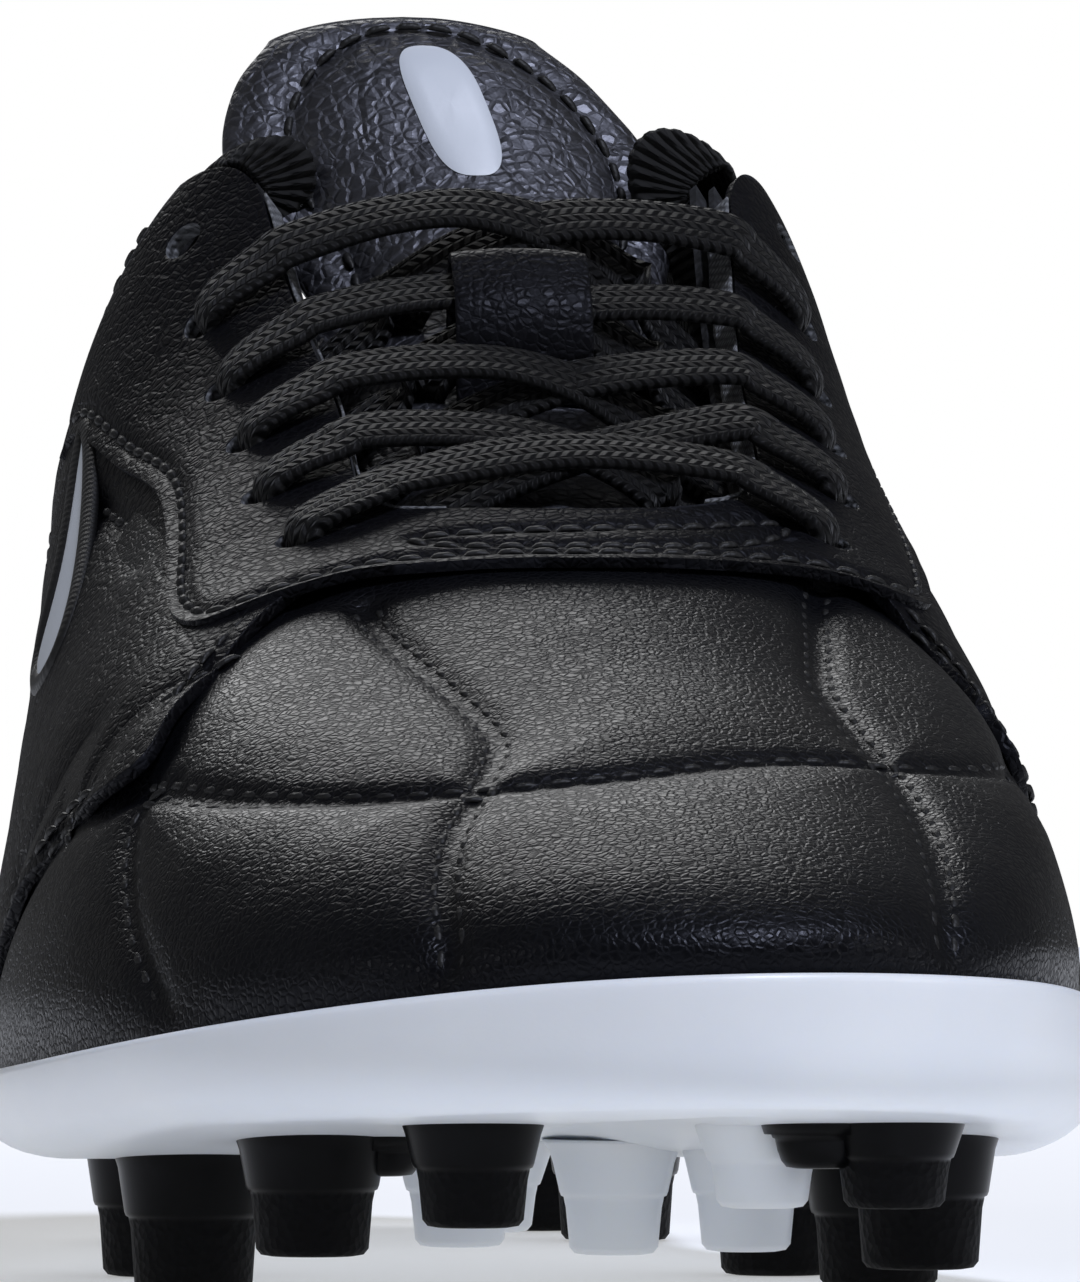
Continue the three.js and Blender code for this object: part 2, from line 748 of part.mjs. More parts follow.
function overEyelet(side, index) {
  const u = eyeletStation(side, index);
  const v = vBelowTop(u, eyeletInset);
  const nearEdge = vBelowTop(u, 1);
  const nearHole = vBelowTop(u, eyeletInset - 3.5);
  const face = faceNormal(u, v);
  const inside = facePoint(u, 1).sub(facePoint(u, v)).normalize();
  return [
    laceKey(throatPoint(u, 2.2, laceOver + 0.7), faceNormal(u, nearEdge)),
    laceKey(skinPoint(u, nearEdge, laceOver + 0.8), faceNormal(u, nearEdge)),
    laceKey(skinPoint(u, nearHole, laceOver + 0.9), face, 0.5),
    laceKey(skinPoint(u, v, laceOver).addScaledVector(inside, 0.3), face.clone().sub(inside), 1),
    laceKey(skinPoint(u, v, -1.5), inside.clone().negate(), 1),
  ];
}

function underFacing(side, index) {
  const u = eyeletStation(side, index);
  const v = vBelowTop(u, eyeletInset);
  const face = faceNormal(u, v);
  const inside = facePoint(u, 1).sub(facePoint(u, v)).normalize();
  const next = eyeletStation(side, index + 0.42);
  return [
    laceKey(skinPoint(u, v, laceUnder + 0.4).addScaledVector(inside, 0.3),
      face.clone().negate().sub(inside), 1),
    laceKey(skinPoint(eyeletStation(side, index + 0.2), vBelowTop(u, eyeletInset - 4), laceUnder - 0.2),
      face.clone().negate(), 0.3),
    laceKey(throatPoint(next, 1.8, laceUnder + 0.4), faceNormal(next, 0.97).negate()),
  ];
}

// The middle of a crossing, above the tongue; the upper strand of each crossing rides over the lower one.
const crossingClearance = laceCamber * laceWidth - 0.2;

function crossingMiddle(index) {
  const from = facePoint(eyeletStation('lateral', index + 0.66), 1);
  const to = facePoint(eyeletStation('medial', index + 0.66), 1);
  return from.lerp(to, 0.5);
}

function crossing(index, upper, heading) {
  const middle = crossingMiddle(index);
  const lean = crownNormal(middle.y);
  const level = upper ? 1.9 : -0.4;
  const crown = crownAt(middle.y) + laceThickness / 2 + crossingClearance + level;
  const centre = new THREE.Vector3(middle.x, middle.y, crown);
  const reach = 9 * widthGrade;
  const climb = upper ? 0.8 : 0.56;
  return [-1, 0, 1].map((step) => {
    const rise = step * climb - Math.abs(step) * 0.7;
    const shift = new THREE.Vector3(step * heading * reach, step * 1.8, rise);
    return laceKey(centre.clone().add(shift), lean);
  });
}

const otherSide = { lateral: 'medial', medial: 'lateral' };

// Half of the lace, from the middle of the straight bar to its tucked end.
function laceHalf(firstSide) {
  const keys = [];
  let side = firstSide;
  for (let i = 0; i < lacedPairs; i += 1) {
    keys.push(...overEyelet(side, i));
    if (i === lacedPairs - 1) break;
    keys.push(...underFacing(side, i));
    const heading = side === 'lateral' ? 1 : -1;
    const upper = (i % 2 === 0) === (firstSide === 'medial');
    keys.push(...crossing(i, upper, heading));
    side = otherSide[side];
  }
  keys.push(...tuckedTail(side));
  return keys;
}

// The tail runs forward between the tongue's edge and the lining, below the eyelet row.
const tailInset = 19;

function tailKey(side, index, inset, offset) {
  const u = eyeletStation(side, index);
  const v = vBelowTop(u, inset);
  return laceKey(skinPoint(u, v, offset), faceNormal(u, v));
}

function tuckedTail(side) {
  const last = lacedPairs - 1;
  const u = eyeletStation(side, last);
  const v = vBelowTop(u, eyeletInset);
  const face = faceNormal(u, v);
  const outside = facePoint(u, v - 0.03).sub(facePoint(u, v)).normalize();
  return [
    laceKey(skinPoint(u, v, laceUnder + 0.4).addScaledVector(outside, 0.3),
      face.clone().sub(outside), 1),
    tailKey(side, last - 0.25, eyeletInset + 5, laceUnder - 0.4),
    tailKey(side, last - 0.8, tailInset, laceUnder - 0.6),
    tailKey(side, last - 1.6, tailInset, laceUnder - 0.6),
    tailKey(side, last - 2.4, tailInset, laceUnder - 0.6),
  ];
}

function barCentre() {
  const medialEdge = facePoint(eyeletStation('medial', 0), 1);
  const middle = facePoint(eyeletStation('lateral', 0), 1).lerp(medialEdge, 0.5);
  middle.z = crownAt(middle.y) + laceThickness / 2 + 3.2;
  return laceKey(middle, crownNormal(middle.y));
}

function laceKeys() {
  return [...laceHalf('lateral').reverse(), barCentre(), ...laceHalf('medial')];
}

// A closed strip swept through the keys: flat section, narrow and thick where it bunches.
function sweepStrip(keys, stepsPerKey) {
  const route = new THREE.CatmullRomCurve3(keys.map((key) => key.point), false, 'centripetal');
  const rings = [];
  const last = keys.length - 1;
  for (let i = 0; i <= last * stepsPerKey; i += 1) {
    const at = i / stepsPerKey;
    const index = Math.min(last - 1, Math.floor(at));
    const t = at - index;
    const along = route.getTangent(at / last);
    const face = keys[index].face.clone().normalize().lerp(keys[index + 1].face.clone().normalize(), t);
    face.addScaledVector(along, -face.dot(along)).normalize();
    const sideways = new THREE.Vector3().crossVectors(along, face);
    const bunch = keys[index].bunch * (1 - t) + keys[index + 1].bunch * t;
    const half = (laceWidth / 2) * (1 - (1 - lacePinch) * bunch);
    const thick = (laceThickness / 2) * (1 + 0.5 * bunch);
    const centre = route.getPoint(at / last);
    const section = [[1, 1], [-1, 1], [-1, -1], [1, -1]];
    rings.push(section.map(([a, b]) => (
      centre.clone().addScaledVector(sideways, a * half).addScaledVector(face, b * thick)
    )));
  }
  return capRings(rings);
}

function capRings(rings) {
  const corners = [];
  const count = rings[0].length;
  for (let i = 0; i < rings.length - 1; i += 1) {
    for (let j = 0; j < count; j += 1) {
      const k = (j + 1) % count;
      addQuad(corners, rings[i][j], rings[i + 1][j], rings[i + 1][k], rings[i][k]);
    }
  }
  const first = rings[0];
  const last = rings[rings.length - 1];
  for (let j = 1; j < count - 1; j += 1) {
    corners.push(first[0], first[j], first[j + 1]);
    corners.push(last[0], last[j + 1], last[j]);
  }
  return closedGeometry(corners);
}

function makeAglet(side) {
  const tail = laceHalf(side);
  const end = tail[tail.length - 1].point;
  const along = end.clone().sub(tail[tail.length - 2].point).normalize();
  const barrel = new THREE.CylinderGeometry(agletDiameter / 2, agletDiameter / 2, agletLength, 10);
  const turn = new THREE.Quaternion().setFromUnitVectors(new THREE.Vector3(0, 1, 0), along);
  const place = new THREE.Matrix4().makeRotationFromQuaternion(turn);
  place.setPosition(end.clone().addScaledVector(along, agletLength / 2 + layerGap));
  return barrel.applyMatrix4(place);
}

// Materials.
const finishes = {
  leather: { color: 0x1b1c20, roughness: 0.45, metalness: 0 },
  overlay: { color: 0x202126, roughness: 0.42, metalness: 0 },
  knit: { color: 0x141518, roughness: 0.9, metalness: 0 },
  lining: { color: 0x2a2c31, roughness: 0.95, metalness: 0 },
  plate: { color: 0xcdd4de, roughness: 0.35, metalness: 0 },
  stud: { color: 0x15161a, roughness: 0.4, metalness: 0 },
  board: { color: 0x8a7a62, roughness: 0.9, metalness: 0 },
  foam: { color: 0x9a9a96, roughness: 1, metalness: 0 },
  mark: { color: 0xe8eaee, roughness: 0.5, metalness: 0 },
  lace: { color: 0x17181c, roughness: 0.8, metalness: 0 },
};

const boot = new THREE.Group();

function addPiece(name, geometry, finish) {
  const mesh = new THREE.Mesh(geometry, new THREE.MeshStandardMaterial(finishes[finish]));
  mesh.name = name;
  boot.add(mesh);
}

const plate = makePlate();
addPiece('outsole_plate', toGeometry(plate), 'plate');

const loweredPlate = plate.translate([0, 0, -layerGap]);
studTable.forEach(([name, x, y, tip, tipRadius]) => {
  const stud = studSolid(x, y, tip, tipRadius).subtract(loweredPlate);
  addPiece(name, toGeometry(stud), 'stud');
});

addPiece('insole_board', slab(boardInset, boardLift, boardThickness), 'board');
addPiece('sockliner_forepart', makeSockliner('forepart'), 'knit');
addPiece('sockliner_heel', makeSockliner('heel'), 'knit');
addPiece('vamp', makeVamp(), 'leather');
addPiece('quarter_lateral', makeQuarter('lateral'), 'leather');
addPiece('quarter_medial', makeQuarter('medial'), 'leather');
addPiece('facing', makeFacing(), 'overlay');
addPiece('eyelet_stay_lateral', makeEyeletStay('lateral'), 'lining');
addPiece('eyelet_stay_medial', makeEyeletStay('medial'), 'lining');
addPiece('toe_puff', makeToePuff(), 'board');
addPiece('heel_counter', makeHeelCounter(), 'board');
addPiece('collar_foam', makeCollarFoam(), 'foam');
addPiece('collar_lining', makeCollarLining(), 'knit');
addPiece('vamp_lining', makeVampLining(), 'lining');
addPiece('heel_strip', makeHeelStrip(), 'overlay');
addPiece('side_patch_lateral', makeSidePatch('lateral'), 'mark');
addPiece('side_patch_medial', makeSidePatch('medial'), 'mark');
addPiece('tongue_lower', makeTongueLower(), 'leather');
addPiece('tongue_flap', makeTongueFlap(), 'leather');
addPiece('tongue_label', makeTongueLabel(), 'mark');
addPiece('lace_keeper', makeLaceKeeper(), 'overlay');
addPiece('lace', sweepStrip(laceKeys(), 2), 'lace');
addPiece('aglet_lateral', makeAglet('lateral'), 'stud');
addPiece('aglet_medial', makeAglet('medial'), 'stud');

export default boot;
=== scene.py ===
# A right-foot football boot with moulded studs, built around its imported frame.
# The shapes are worked out in millimetres and go into the meshes in metres.
import math

import bpy
import numpy as np
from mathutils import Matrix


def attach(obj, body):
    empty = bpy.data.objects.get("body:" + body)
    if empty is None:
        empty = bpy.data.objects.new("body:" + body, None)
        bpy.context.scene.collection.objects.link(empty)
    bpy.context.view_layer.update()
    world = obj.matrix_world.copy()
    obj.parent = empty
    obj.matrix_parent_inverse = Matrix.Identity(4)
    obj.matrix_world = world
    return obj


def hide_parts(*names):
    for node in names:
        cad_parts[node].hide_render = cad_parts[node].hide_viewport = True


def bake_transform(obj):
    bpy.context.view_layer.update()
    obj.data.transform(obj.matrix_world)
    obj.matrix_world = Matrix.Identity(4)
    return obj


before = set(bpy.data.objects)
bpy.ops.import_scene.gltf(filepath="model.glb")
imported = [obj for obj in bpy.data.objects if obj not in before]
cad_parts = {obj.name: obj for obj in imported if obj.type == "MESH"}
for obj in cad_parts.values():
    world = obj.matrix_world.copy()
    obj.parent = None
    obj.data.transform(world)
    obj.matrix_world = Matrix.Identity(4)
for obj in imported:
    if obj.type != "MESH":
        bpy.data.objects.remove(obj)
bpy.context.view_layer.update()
millimetre = 0.001
root = "boot"
flap = "tongue_flap_body"

# ---- camera, light and floor
view = {
    "aim": (5.75, 0.0, 62.0),
    "azimuth": -5.5,
    "height": 40.0,
    "distance": 1060.0,
    "lens": 300.5,
}


def aimFrom(place, target):
    # the turn that makes an object's -Z axis look from place to target
    direction = np.array(target) - np.array(place)
    flat = math.hypot(direction[0], direction[1])
    return (math.atan2(flat, -direction[2]), 0.0, math.atan2(-direction[0], direction[1]))


def makeCamera():
    aim = np.array(view["aim"])
    turn = math.radians(view["azimuth"])
    rise = math.asin((view["height"] - aim[2]) / view["distance"])
    back = np.array([math.sin(turn) * math.cos(rise), -math.cos(turn) * math.cos(rise), math.sin(rise)])
    place = aim + back * view["distance"]
    lens = bpy.data.cameras.new("camera")
    lens.lens = view["lens"]
    lens.clip_start = 0.05
    lens.clip_end = 50
    camera = bpy.data.objects.new("camera", lens)
    camera.location = place * millimetre
    camera.rotation_euler = aimFrom(place, aim)
    bpy.context.collection.objects.link(camera)
    bpy.context.scene.camera = camera


lamps = {
    "leftFill": {"place": (-900, -300, 520), "aim": (0, -20, 70), "size": 300, "power": 0.5},
    "rightFill": {"place": (900, -350, 460), "aim": (0, -20, 70), "size": 300, "power": 0.9},
    "back": {"place": (-60, 900, 640), "aim": (0, 40, 70), "size": 500, "power": 2.4},
}
key = {"place": (230, -400, 830), "aim": (5, -60, 50), "strength": 2.5, "spread": 13.0, "colour": "#e6ecff"}


def makeLamps():
    for name, settings in lamps.items():
        data = bpy.data.lights.new(name, "AREA")
        data.shape = "DISK"
        data.size = settings["size"] * millimetre
        data.energy = settings["power"]
        lamp = bpy.data.objects.new(name, data)
        lamp.location = np.array(settings["place"]) * millimetre
        lamp.rotation_euler = aimFrom(settings["place"], settings["aim"])
        bpy.context.collection.objects.link(lamp)
    sun = bpy.data.lights.new("key", "SUN")
    sun.energy = key["strength"]
    sun.color = linear(key["colour"])[:3]
    sun.angle = math.radians(key["spread"])
    overhead = bpy.data.objects.new("key", sun)
    overhead.location = np.array(key["place"]) * millimetre
    overhead.rotation_euler = aimFrom(key["place"], key["aim"])
    bpy.context.collection.objects.link(overhead)
    world = bpy.data.worlds.new("studio")
    world.use_nodes = True
    backdrop = world.node_tree.nodes["Background"]
    backdrop.inputs["Color"].default_value = (1, 1, 1, 1)
    seen = addNode(world.node_tree, "ShaderNodeLightPath").outputs["Is Camera Ray"]
    addLink = addNode(world.node_tree, "ShaderNodeMapRange", {"Value": seen, "To Min": 0.12, "To Max": 1.0})
    world.node_tree.links.new(addLink.outputs[0], backdrop.inputs["Strength"])
    bpy.context.scene.world = world
    bpy.context.scene.view_settings.view_transform = "Standard"


makeCamera()


# ---- materials
def linear(code, alpha=1.0):
    # an sRGB hex colour turned to linear light
    parts = [int(code[k:k + 2], 16) / 255 for k in (1, 3, 5)]
    light = [p / 12.92 if p <= 0.04045 else ((p + 0.055) / 1.055) ** 2.4 for p in parts]
    return (*light, alpha)


def addNode(tree, kind, inputs=None, **settings):
    node = tree.nodes.new(kind)
    for key, value in settings.items():
        setattr(node, key, value)
    for key, value in (inputs or {}).items():
        if isinstance(value, bpy.types.NodeSocket):
            tree.links.new(value, node.inputs[key])
        else:
            node.inputs[key].default_value = value
    return node


makeLamps()
print("camera and lamps are in")


def newMaterial(name):
    material = bpy.data.materials.new(name)
    material.use_nodes = True
    tree = material.node_tree
    tree.nodes.clear()
    surface = addNode(tree, "ShaderNodeBsdfPrincipled")
    addNode(tree, "ShaderNodeOutputMaterial", {"Surface": surface.outputs[0]})
    return material, tree, surface


def perMetre(sizeInMillimetres):
    # a texture's scale for cells of this size, on coordinates in metres
    return 1000.0 / sizeInMillimetres


def colourRamp(tree, factor, stops):
    ramp = addNode(tree, "ShaderNodeValToRGB", {"Fac": factor})
    points = ramp.color_ramp.elements
    while len(points) < len(stops):
        points.new(0.5)
    for point, (position, colour) in zip(points, stops):
        point.position = position
        point.color = colour
    return ramp


def grainedLeather(name, low, high, grain, depth, roughness, creaseDepth=0.3, shine=0.15,
                   edgeHighlight="#1c1d22"):
    # PU-coated synthetic leather, embossed with pebble grain and a few soft creases: the grain breaks
    # the wide highlight into fine sparkle, and raised edges, found by the mesh's pointiness, get a painted
    # highlight of lighter grey
    material, tree, surface = newMaterial(name)
    place = addNode(tree, "ShaderNodeTexCoord").outputs["Object"]
    warp = addNode(tree, "ShaderNodeTexNoise", {"Vector": place, "Scale": perMetre(3.1), "Detail": 3.0})
    shifted = addNode(tree, "ShaderNodeVectorMath", {0: warp.outputs["Color"], 1: (0.0011,) * 3},
                      operation="MULTIPLY")
    bent = addNode(tree, "ShaderNodeVectorMath", {0: place, 1: shifted.outputs[0]}, operation="ADD")
    pebble = addNode(tree, "ShaderNodeTexVoronoi", {"Vector": bent.outputs[0], "Scale": perMetre(grain)},
                     feature="DISTANCE_TO_EDGE")
    valley = addNode(tree, "ShaderNodeMapRange", {"Value": pebble.outputs["Distance"], "From Max": 0.22})
    fine = addNode(tree, "ShaderNodeTexNoise", {"Vector": place, "Scale": perMetre(0.45), "Detail": 2.0})
    crease = addNode(tree, "ShaderNodeTexVoronoi", {"Vector": bent.outputs[0], "Scale": perMetre(grain * 4.3)},
                     feature="DISTANCE_TO_EDGE")
    creaseLine = addNode(tree, "ShaderNodeMapRange", {"Value": crease.outputs["Distance"], "From Max": 0.1})
    cloud = addNode(tree, "ShaderNodeTexNoise", {"Vector": place, "Scale": perMetre(22), "Detail": 4.0})
    patch = addNode(tree, "ShaderNodeMapRange",
                    {"Value": cloud.outputs["Fac"], "From Min": 0.35, "From Max": 0.7})
    tone = colourRamp(tree, patch.outputs[0], [(0.0, linear(low)), (1.0, linear(high))])
    # painted highlight: convex edges (high pointiness) are mixed towards a lighter grey
    convexity = addNode(tree, "ShaderNodeNewGeometry").outputs["Pointiness"]
    paintedHighlight = addNode(tree, "ShaderNodeMapRange", {"Value": convexity, "From Min": 0.53, "From Max": 0.62})
    mixed = addNode(tree, "ShaderNodeMix", {0: paintedHighlight.outputs[0], 6: tone.outputs["Color"],
                                            7: linear(edgeHighlight)}, data_type="RGBA")
    tree.links.new(mixed.outputs[2], surface.inputs["Base Color"])
    gloss = addNode(tree, "ShaderNodeMapRange",
                    {"Value": valley.outputs[0], "To Min": roughness + 0.18, "To Max": roughness})
    tree.links.new(gloss.outputs[0], surface.inputs["Roughness"])
    softer = addNode(tree, "ShaderNodeBump", {"Height": creaseLine.outputs[0], "Strength": creaseDepth,
                                              "Distance": depth * millimetre * 1.6})
    pebbled = addNode(tree, "ShaderNodeBump", {"Height": valley.outputs[0], "Strength": 0.55,
                                               "Distance": depth * millimetre, "Normal": softer.outputs[0]})
    tooth = addNode(tree, "ShaderNodeBump", {"Height": fine.outputs["Fac"], "Strength": 0.25,
                                             "Distance": 0.00012, "Normal": pebbled.outputs[0]})
    tree.links.new(tooth.outputs[0], surface.inputs["Normal"])
    surface.inputs["IOR"].default_value = 1.5
    surface.inputs["Specular IOR Level"].default_value = shine
    surface.inputs["Specular Tint"].default_value = linear("#eef0ff")
    return material


def mouldedPlastic(name, colour, shade, roughness, speckle, depth, subsurface=0.0):
    # injection-moulded TPU: smooth, faintly cloudy, with the mould's fine spark-eroded texture
    material, tree, surface = newMaterial(name)
    place = addNode(tree, "ShaderNodeTexCoord").outputs["Object"]
    cloud = addNode(tree, "ShaderNodeTexNoise", {"Vector": place, "Scale": perMetre(35), "Detail": 3.0})
    tone = colourRamp(tree, cloud.outputs["Fac"], [(0.3, linear(shade)), (0.7, linear(colour))])
    tree.links.new(tone.outputs["Color"], surface.inputs["Base Color"])
    grit = addNode(tree, "ShaderNodeTexNoise", {"Vector": place, "Scale": perMetre(speckle), "Detail": 3.0})
    rough = addNode(tree, "ShaderNodeMapRange",
                    {"Value": grit.outputs["Fac"], "To Min": roughness - 0.06, "To Max": roughness + 0.1})
    tree.links.new(rough.outputs[0], surface.inputs["Roughness"])
    bump = addNode(tree, "ShaderNodeBump", {"Height": grit.outputs["Fac"], "Strength": 0.5,
                                            "Distance": depth * millimetre})
    tree.links.new(bump.outputs[0], surface.inputs["Normal"])
    surface.inputs["IOR"].default_value = 1.5
    if subsurface:
        surface.inputs["Subsurface Weight"].default_value = subsurface
        surface.inputs["Subsurface Radius"].default_value = (0.006, 0.007, 0.009)
        surface.inputs["Subsurface Scale"].default_value = 0.4
    return material


def roughStud(name, colour, stepHeight):
    # hard black TPU stud: the upper part is polished, the lower part is spark-eroded to grip
    material, tree, surface = newMaterial(name)
    place = addNode(tree, "ShaderNodeTexCoord").outputs["Object"]
    grit = addNode(tree, "ShaderNodeTexVoronoi", {"Vector": place, "Scale": perMetre(0.85)})
    mark = addNode(tree, "ShaderNodeAttribute", attribute_name="rough").outputs["Fac"]
    # the colour follows the same cells as the bump, darker in their pits: painted shade in the eroded grain, and
    # a plain fleck on the polished part where the bump is off
    tone = addNode(tree, "ShaderNodeMapRange",
                   {"Value": grit.outputs["Distance"], "To Min": 0.35, "To Max": 1.0})
    ramp = colourRamp(tree, tone.outputs[0], [(0.0, linear("#020203")), (1.0, linear(colour))])
    tree.links.new(ramp.outputs["Color"], surface.inputs["Base Color"])
    rough = addNode(tree, "ShaderNodeMapRange", {"Value": mark, "To Min": 0.3, "To Max": 0.62})
    tree.links.new(rough.outputs[0], surface.inputs["Roughness"])
    strength = addNode(tree, "ShaderNodeMath", {0: mark, 1: 0.9}, operation="MULTIPLY")
    bump = addNode(tree, "ShaderNodeBump", {"Height": grit.outputs["Distance"],
                                            "Strength": strength.outputs[0], "Distance": 0.00018})
    tree.links.new(bump.outputs[0], surface.inputs["Normal"])
    surface.inputs["Specular IOR Level"].default_value = 0.1
    return material


def braidedLace(name, low, high, pitch, width):
    # flat braided polyester: two sets of yarns cross at a slant either side of the middle, so that the
    # face reads as a column of small chevrons; the UV map runs in millimetres, u along and v across
    material, tree, surface = newMaterial(name)
    uv = addNode(tree, "ShaderNodeUVMap", uv_map="weave").outputs["UV"]
    parts = addNode(tree, "ShaderNodeSeparateXYZ", {"Vector": uv})
    cells = width / 5.0
    across = addNode(tree, "ShaderNodeMath", {0: parts.outputs["Y"], 1: 1 / cells}, operation="MULTIPLY")
    zigzag = addNode(tree, "ShaderNodeMath", {0: across.outputs[0], 1: 1.0}, operation="PINGPONG")
    slant = addNode(tree, "ShaderNodeMath", {0: zigzag.outputs[0], 1: 0.55}, operation="MULTIPLY")
    along = addNode(tree, "ShaderNodeMath", {0: parts.outputs["X"], 1: 1 / pitch}, operation="MULTIPLY")
    phase = addNode(tree, "ShaderNodeMath", {0: along.outputs[0], 1: slant.outputs[0]}, operation="ADD")
    yarn = addNode(tree, "ShaderNodeMath", {0: phase.outputs[0], 1: 0.5}, operation="PINGPONG")
    swell = addNode(tree, "ShaderNodeMapRange", {"Value": yarn.outputs[0], "From Max": 0.5},
                    interpolation_type="SMOOTHSTEP")
    edge = addNode(tree, "ShaderNodeMath", {0: zigzag.outputs[0], 1: 0.5}, operation="PINGPONG")
    column = addNode(tree, "ShaderNodeMapRange", {"Value": edge.outputs[0], "From Max": 0.2},
                     interpolation_type="SMOOTHSTEP")
    height = addNode(tree, "ShaderNodeMath", {0: swell.outputs[0], 1: column.outputs[0]},
                     operation="MULTIPLY")
    fibre = addNode(tree, "ShaderNodeTexNoise",
                    {"Vector": addNode(tree, "ShaderNodeTexCoord").outputs["Object"],
                     "Scale": perMetre(0.3), "Detail": 3.0})
    # painted shade: the colour follows the same height as the bump, darker in the grooves between the yarns and
    # between the columns
    tone = colourRamp(tree, height.outputs[0], [(0.0, linear(low)), (1.0, linear(high))])
    tree.links.new(tone.outputs["Color"], surface.inputs["Base Color"])
    bump = addNode(tree, "ShaderNodeBump", {"Height": height.outputs[0], "Strength": 0.9,
                                            "Distance": 0.00045})
    fuzz = addNode(tree, "ShaderNodeBump", {"Height": fibre.outputs["Fac"], "Strength": 0.35,
                                            "Distance": 0.00015, "Normal": bump.outputs[0]})
    tree.links.new(fuzz.outputs[0], surface.inputs["Normal"])
    surface.inputs["Roughness"].default_value = 0.55
    surface.inputs["Specular IOR Level"].default_value = 0.13
    surface.inputs["Sheen Weight"].default_value = 0.06
    surface.inputs["Sheen Roughness"].default_value = 0.4
    return material


def ribbedKnit(name, low, high, rib, course):
    # spacer knit over foam: raised ribs follow the edge, and each is a chain of small loops
    material, tree, surface = newMaterial(name)
    uv = addNode(tree, "ShaderNodeUVMap", uv_map="weave").outputs["UV"]
    parts = addNode(tree, "ShaderNodeSeparateXYZ", {"Vector": uv})
    ribs = addNode(tree, "ShaderNodeMath", {0: parts.outputs["Y"], 1: 1 / rib}, operation="MULTIPLY")
    ribWave = addNode(tree, "ShaderNodeMath", {0: ribs.outputs[0], 1: 0.5}, operation="PINGPONG")
    loops = addNode(tree, "ShaderNodeMath", {0: parts.outputs["X"], 1: 1 / course}, operation="MULTIPLY")
    lean = addNode(tree, "ShaderNodeMath", {0: loops.outputs[0], 1: ribWave.outputs[0]}, operation="ADD")
    loopWave = addNode(tree, "ShaderNodeMath", {0: lean.outputs[0], 1: 0.5}, operation="PINGPONG")
    raised = addNode(tree, "ShaderNodeMapRange", {"Value": ribWave.outputs[0], "From Max": 0.5},
                     interpolation_type="SMOOTHSTEP")
    loop = addNode(tree, "ShaderNodeMapRange", {"Value": loopWave.outputs[0], "From Max": 0.5,
                                                "To Min": 0.55}, interpolation_type="SMOOTHSTEP")
    height = addNode(tree, "ShaderNodeMath", {0: raised.outputs[0], 1: loop.outputs[0]},
                     operation="MULTIPLY")
    # painted shade: the colour follows the same height as the bump, darker in the troughs between the ribs and
    # the loops
    tone = colourRamp(tree, height.outputs[0], [(0.0, linear(low)), (1.0, linear(high))])
    tree.links.new(tone.outputs["Color"], surface.inputs["Base Color"])
    bump = addNode(tree, "ShaderNodeBump", {"Height": height.outputs[0], "Strength": 1.0,
                                            "Distance": 0.0007})
    tree.links.new(bump.outputs[0], surface.inputs["Normal"])
    surface.inputs["Roughness"].default_value = 0.85
    surface.inputs["Specular IOR Level"].default_value = 0.3
    surface.inputs["Sheen Weight"].default_value = 0.04
    return material


def plainWeave(name, low, high, thread, roughness=0.9):
    # woven or brushed lining cloth: crossing threads, matt, with a little nap
    material, tree, surface = newMaterial(name)
    place = addNode(tree, "ShaderNodeTexCoord").outputs["Object"]
    first = addNode(tree, "ShaderNodeTexWave", {"Vector": place, "Scale": perMetre(thread) / 6.3},
                    bands_direction="Y")
    second = addNode(tree, "ShaderNodeTexWave", {"Vector": place, "Scale": perMetre(thread) / 6.3},
                     bands_direction="Z")
    woven = addNode(tree, "ShaderNodeMath", {0: first.outputs["Fac"], 1: second.outputs["Fac"]},
                    operation="MULTIPLY")
    nap = addNode(tree, "ShaderNodeTexNoise", {"Vector": place, "Scale": perMetre(0.7), "Detail": 4.0})
    both = addNode(tree, "ShaderNodeMath", {0: woven.outputs[0], 1: nap.outputs["Fac"]}, operation="ADD")
    # the colour follows the bump's field: painted shade where the threads dip, plus a random mottle from the nap
    tone = colourRamp(tree, both.outputs[0], [(0.2, linear(low)), (1.0, linear(high))])
    tree.links.new(tone.outputs["Color"], surface.inputs["Base Color"])
    bump = addNode(tree, "ShaderNodeBump", {"Height": both.outputs[0], "Strength": 0.5,
                                            "Distance": 0.0003})
    tree.links.new(bump.outputs[0], surface.inputs["Normal"])
    surface.inputs["Roughness"].default_value = roughness
    return material


def sewingThread(name, colour, shade):
    # bonded polyester thread: three plies twisted, slightly waxy
    material, tree, surface = newMaterial(name)
    uv = addNode(tree, "ShaderNodeUVMap", uv_map="weave").outputs["UV"]
    parts = addNode(tree, "ShaderNodeSeparateXYZ", {"Vector": uv})
    phase = addNode(tree, "ShaderNodeMath", {0: parts.outputs["X"], 1: parts.outputs["Y"]},
                    operation="ADD")
    ply = addNode(tree, "ShaderNodeMath", {0: phase.outputs[0], 1: 0.5}, operation="PINGPONG")
    # painted shade: the colour follows the ply ridges, darker in the grooves between the twisted plies
    tone = colourRamp(tree, ply.outputs[0], [(0.0, linear(shade)), (0.5, linear(colour))])
    tree.links.new(tone.outputs["Color"], surface.inputs["Base Color"])
    bump = addNode(tree, "ShaderNodeBump", {"Height": ply.outputs[0], "Strength": 0.6,
                                            "Distance": 0.00015})
    tree.links.new(bump.outputs[0], surface.inputs["Normal"])
    surface.inputs["Roughness"].default_value = 0.55
    surface.inputs["Specular IOR Level"].default_value = 0.35
    return material


def paleFloor():
    # a matt acrylic sheet lit faintly from below, as on a product table: shadows on it stay pale
    material, tree, surface = newMaterial("matt_white_acrylic_table")
    surface.inputs["Base Color"].default_value = linear("#c4c6c9")
    surface.inputs["Emission Color"].default_value = linear("#ffffff")
    surface.inputs["Emission Strength"].default_value = 0.36
    surface.inputs["Roughness"].default_value = 0.9
    return material


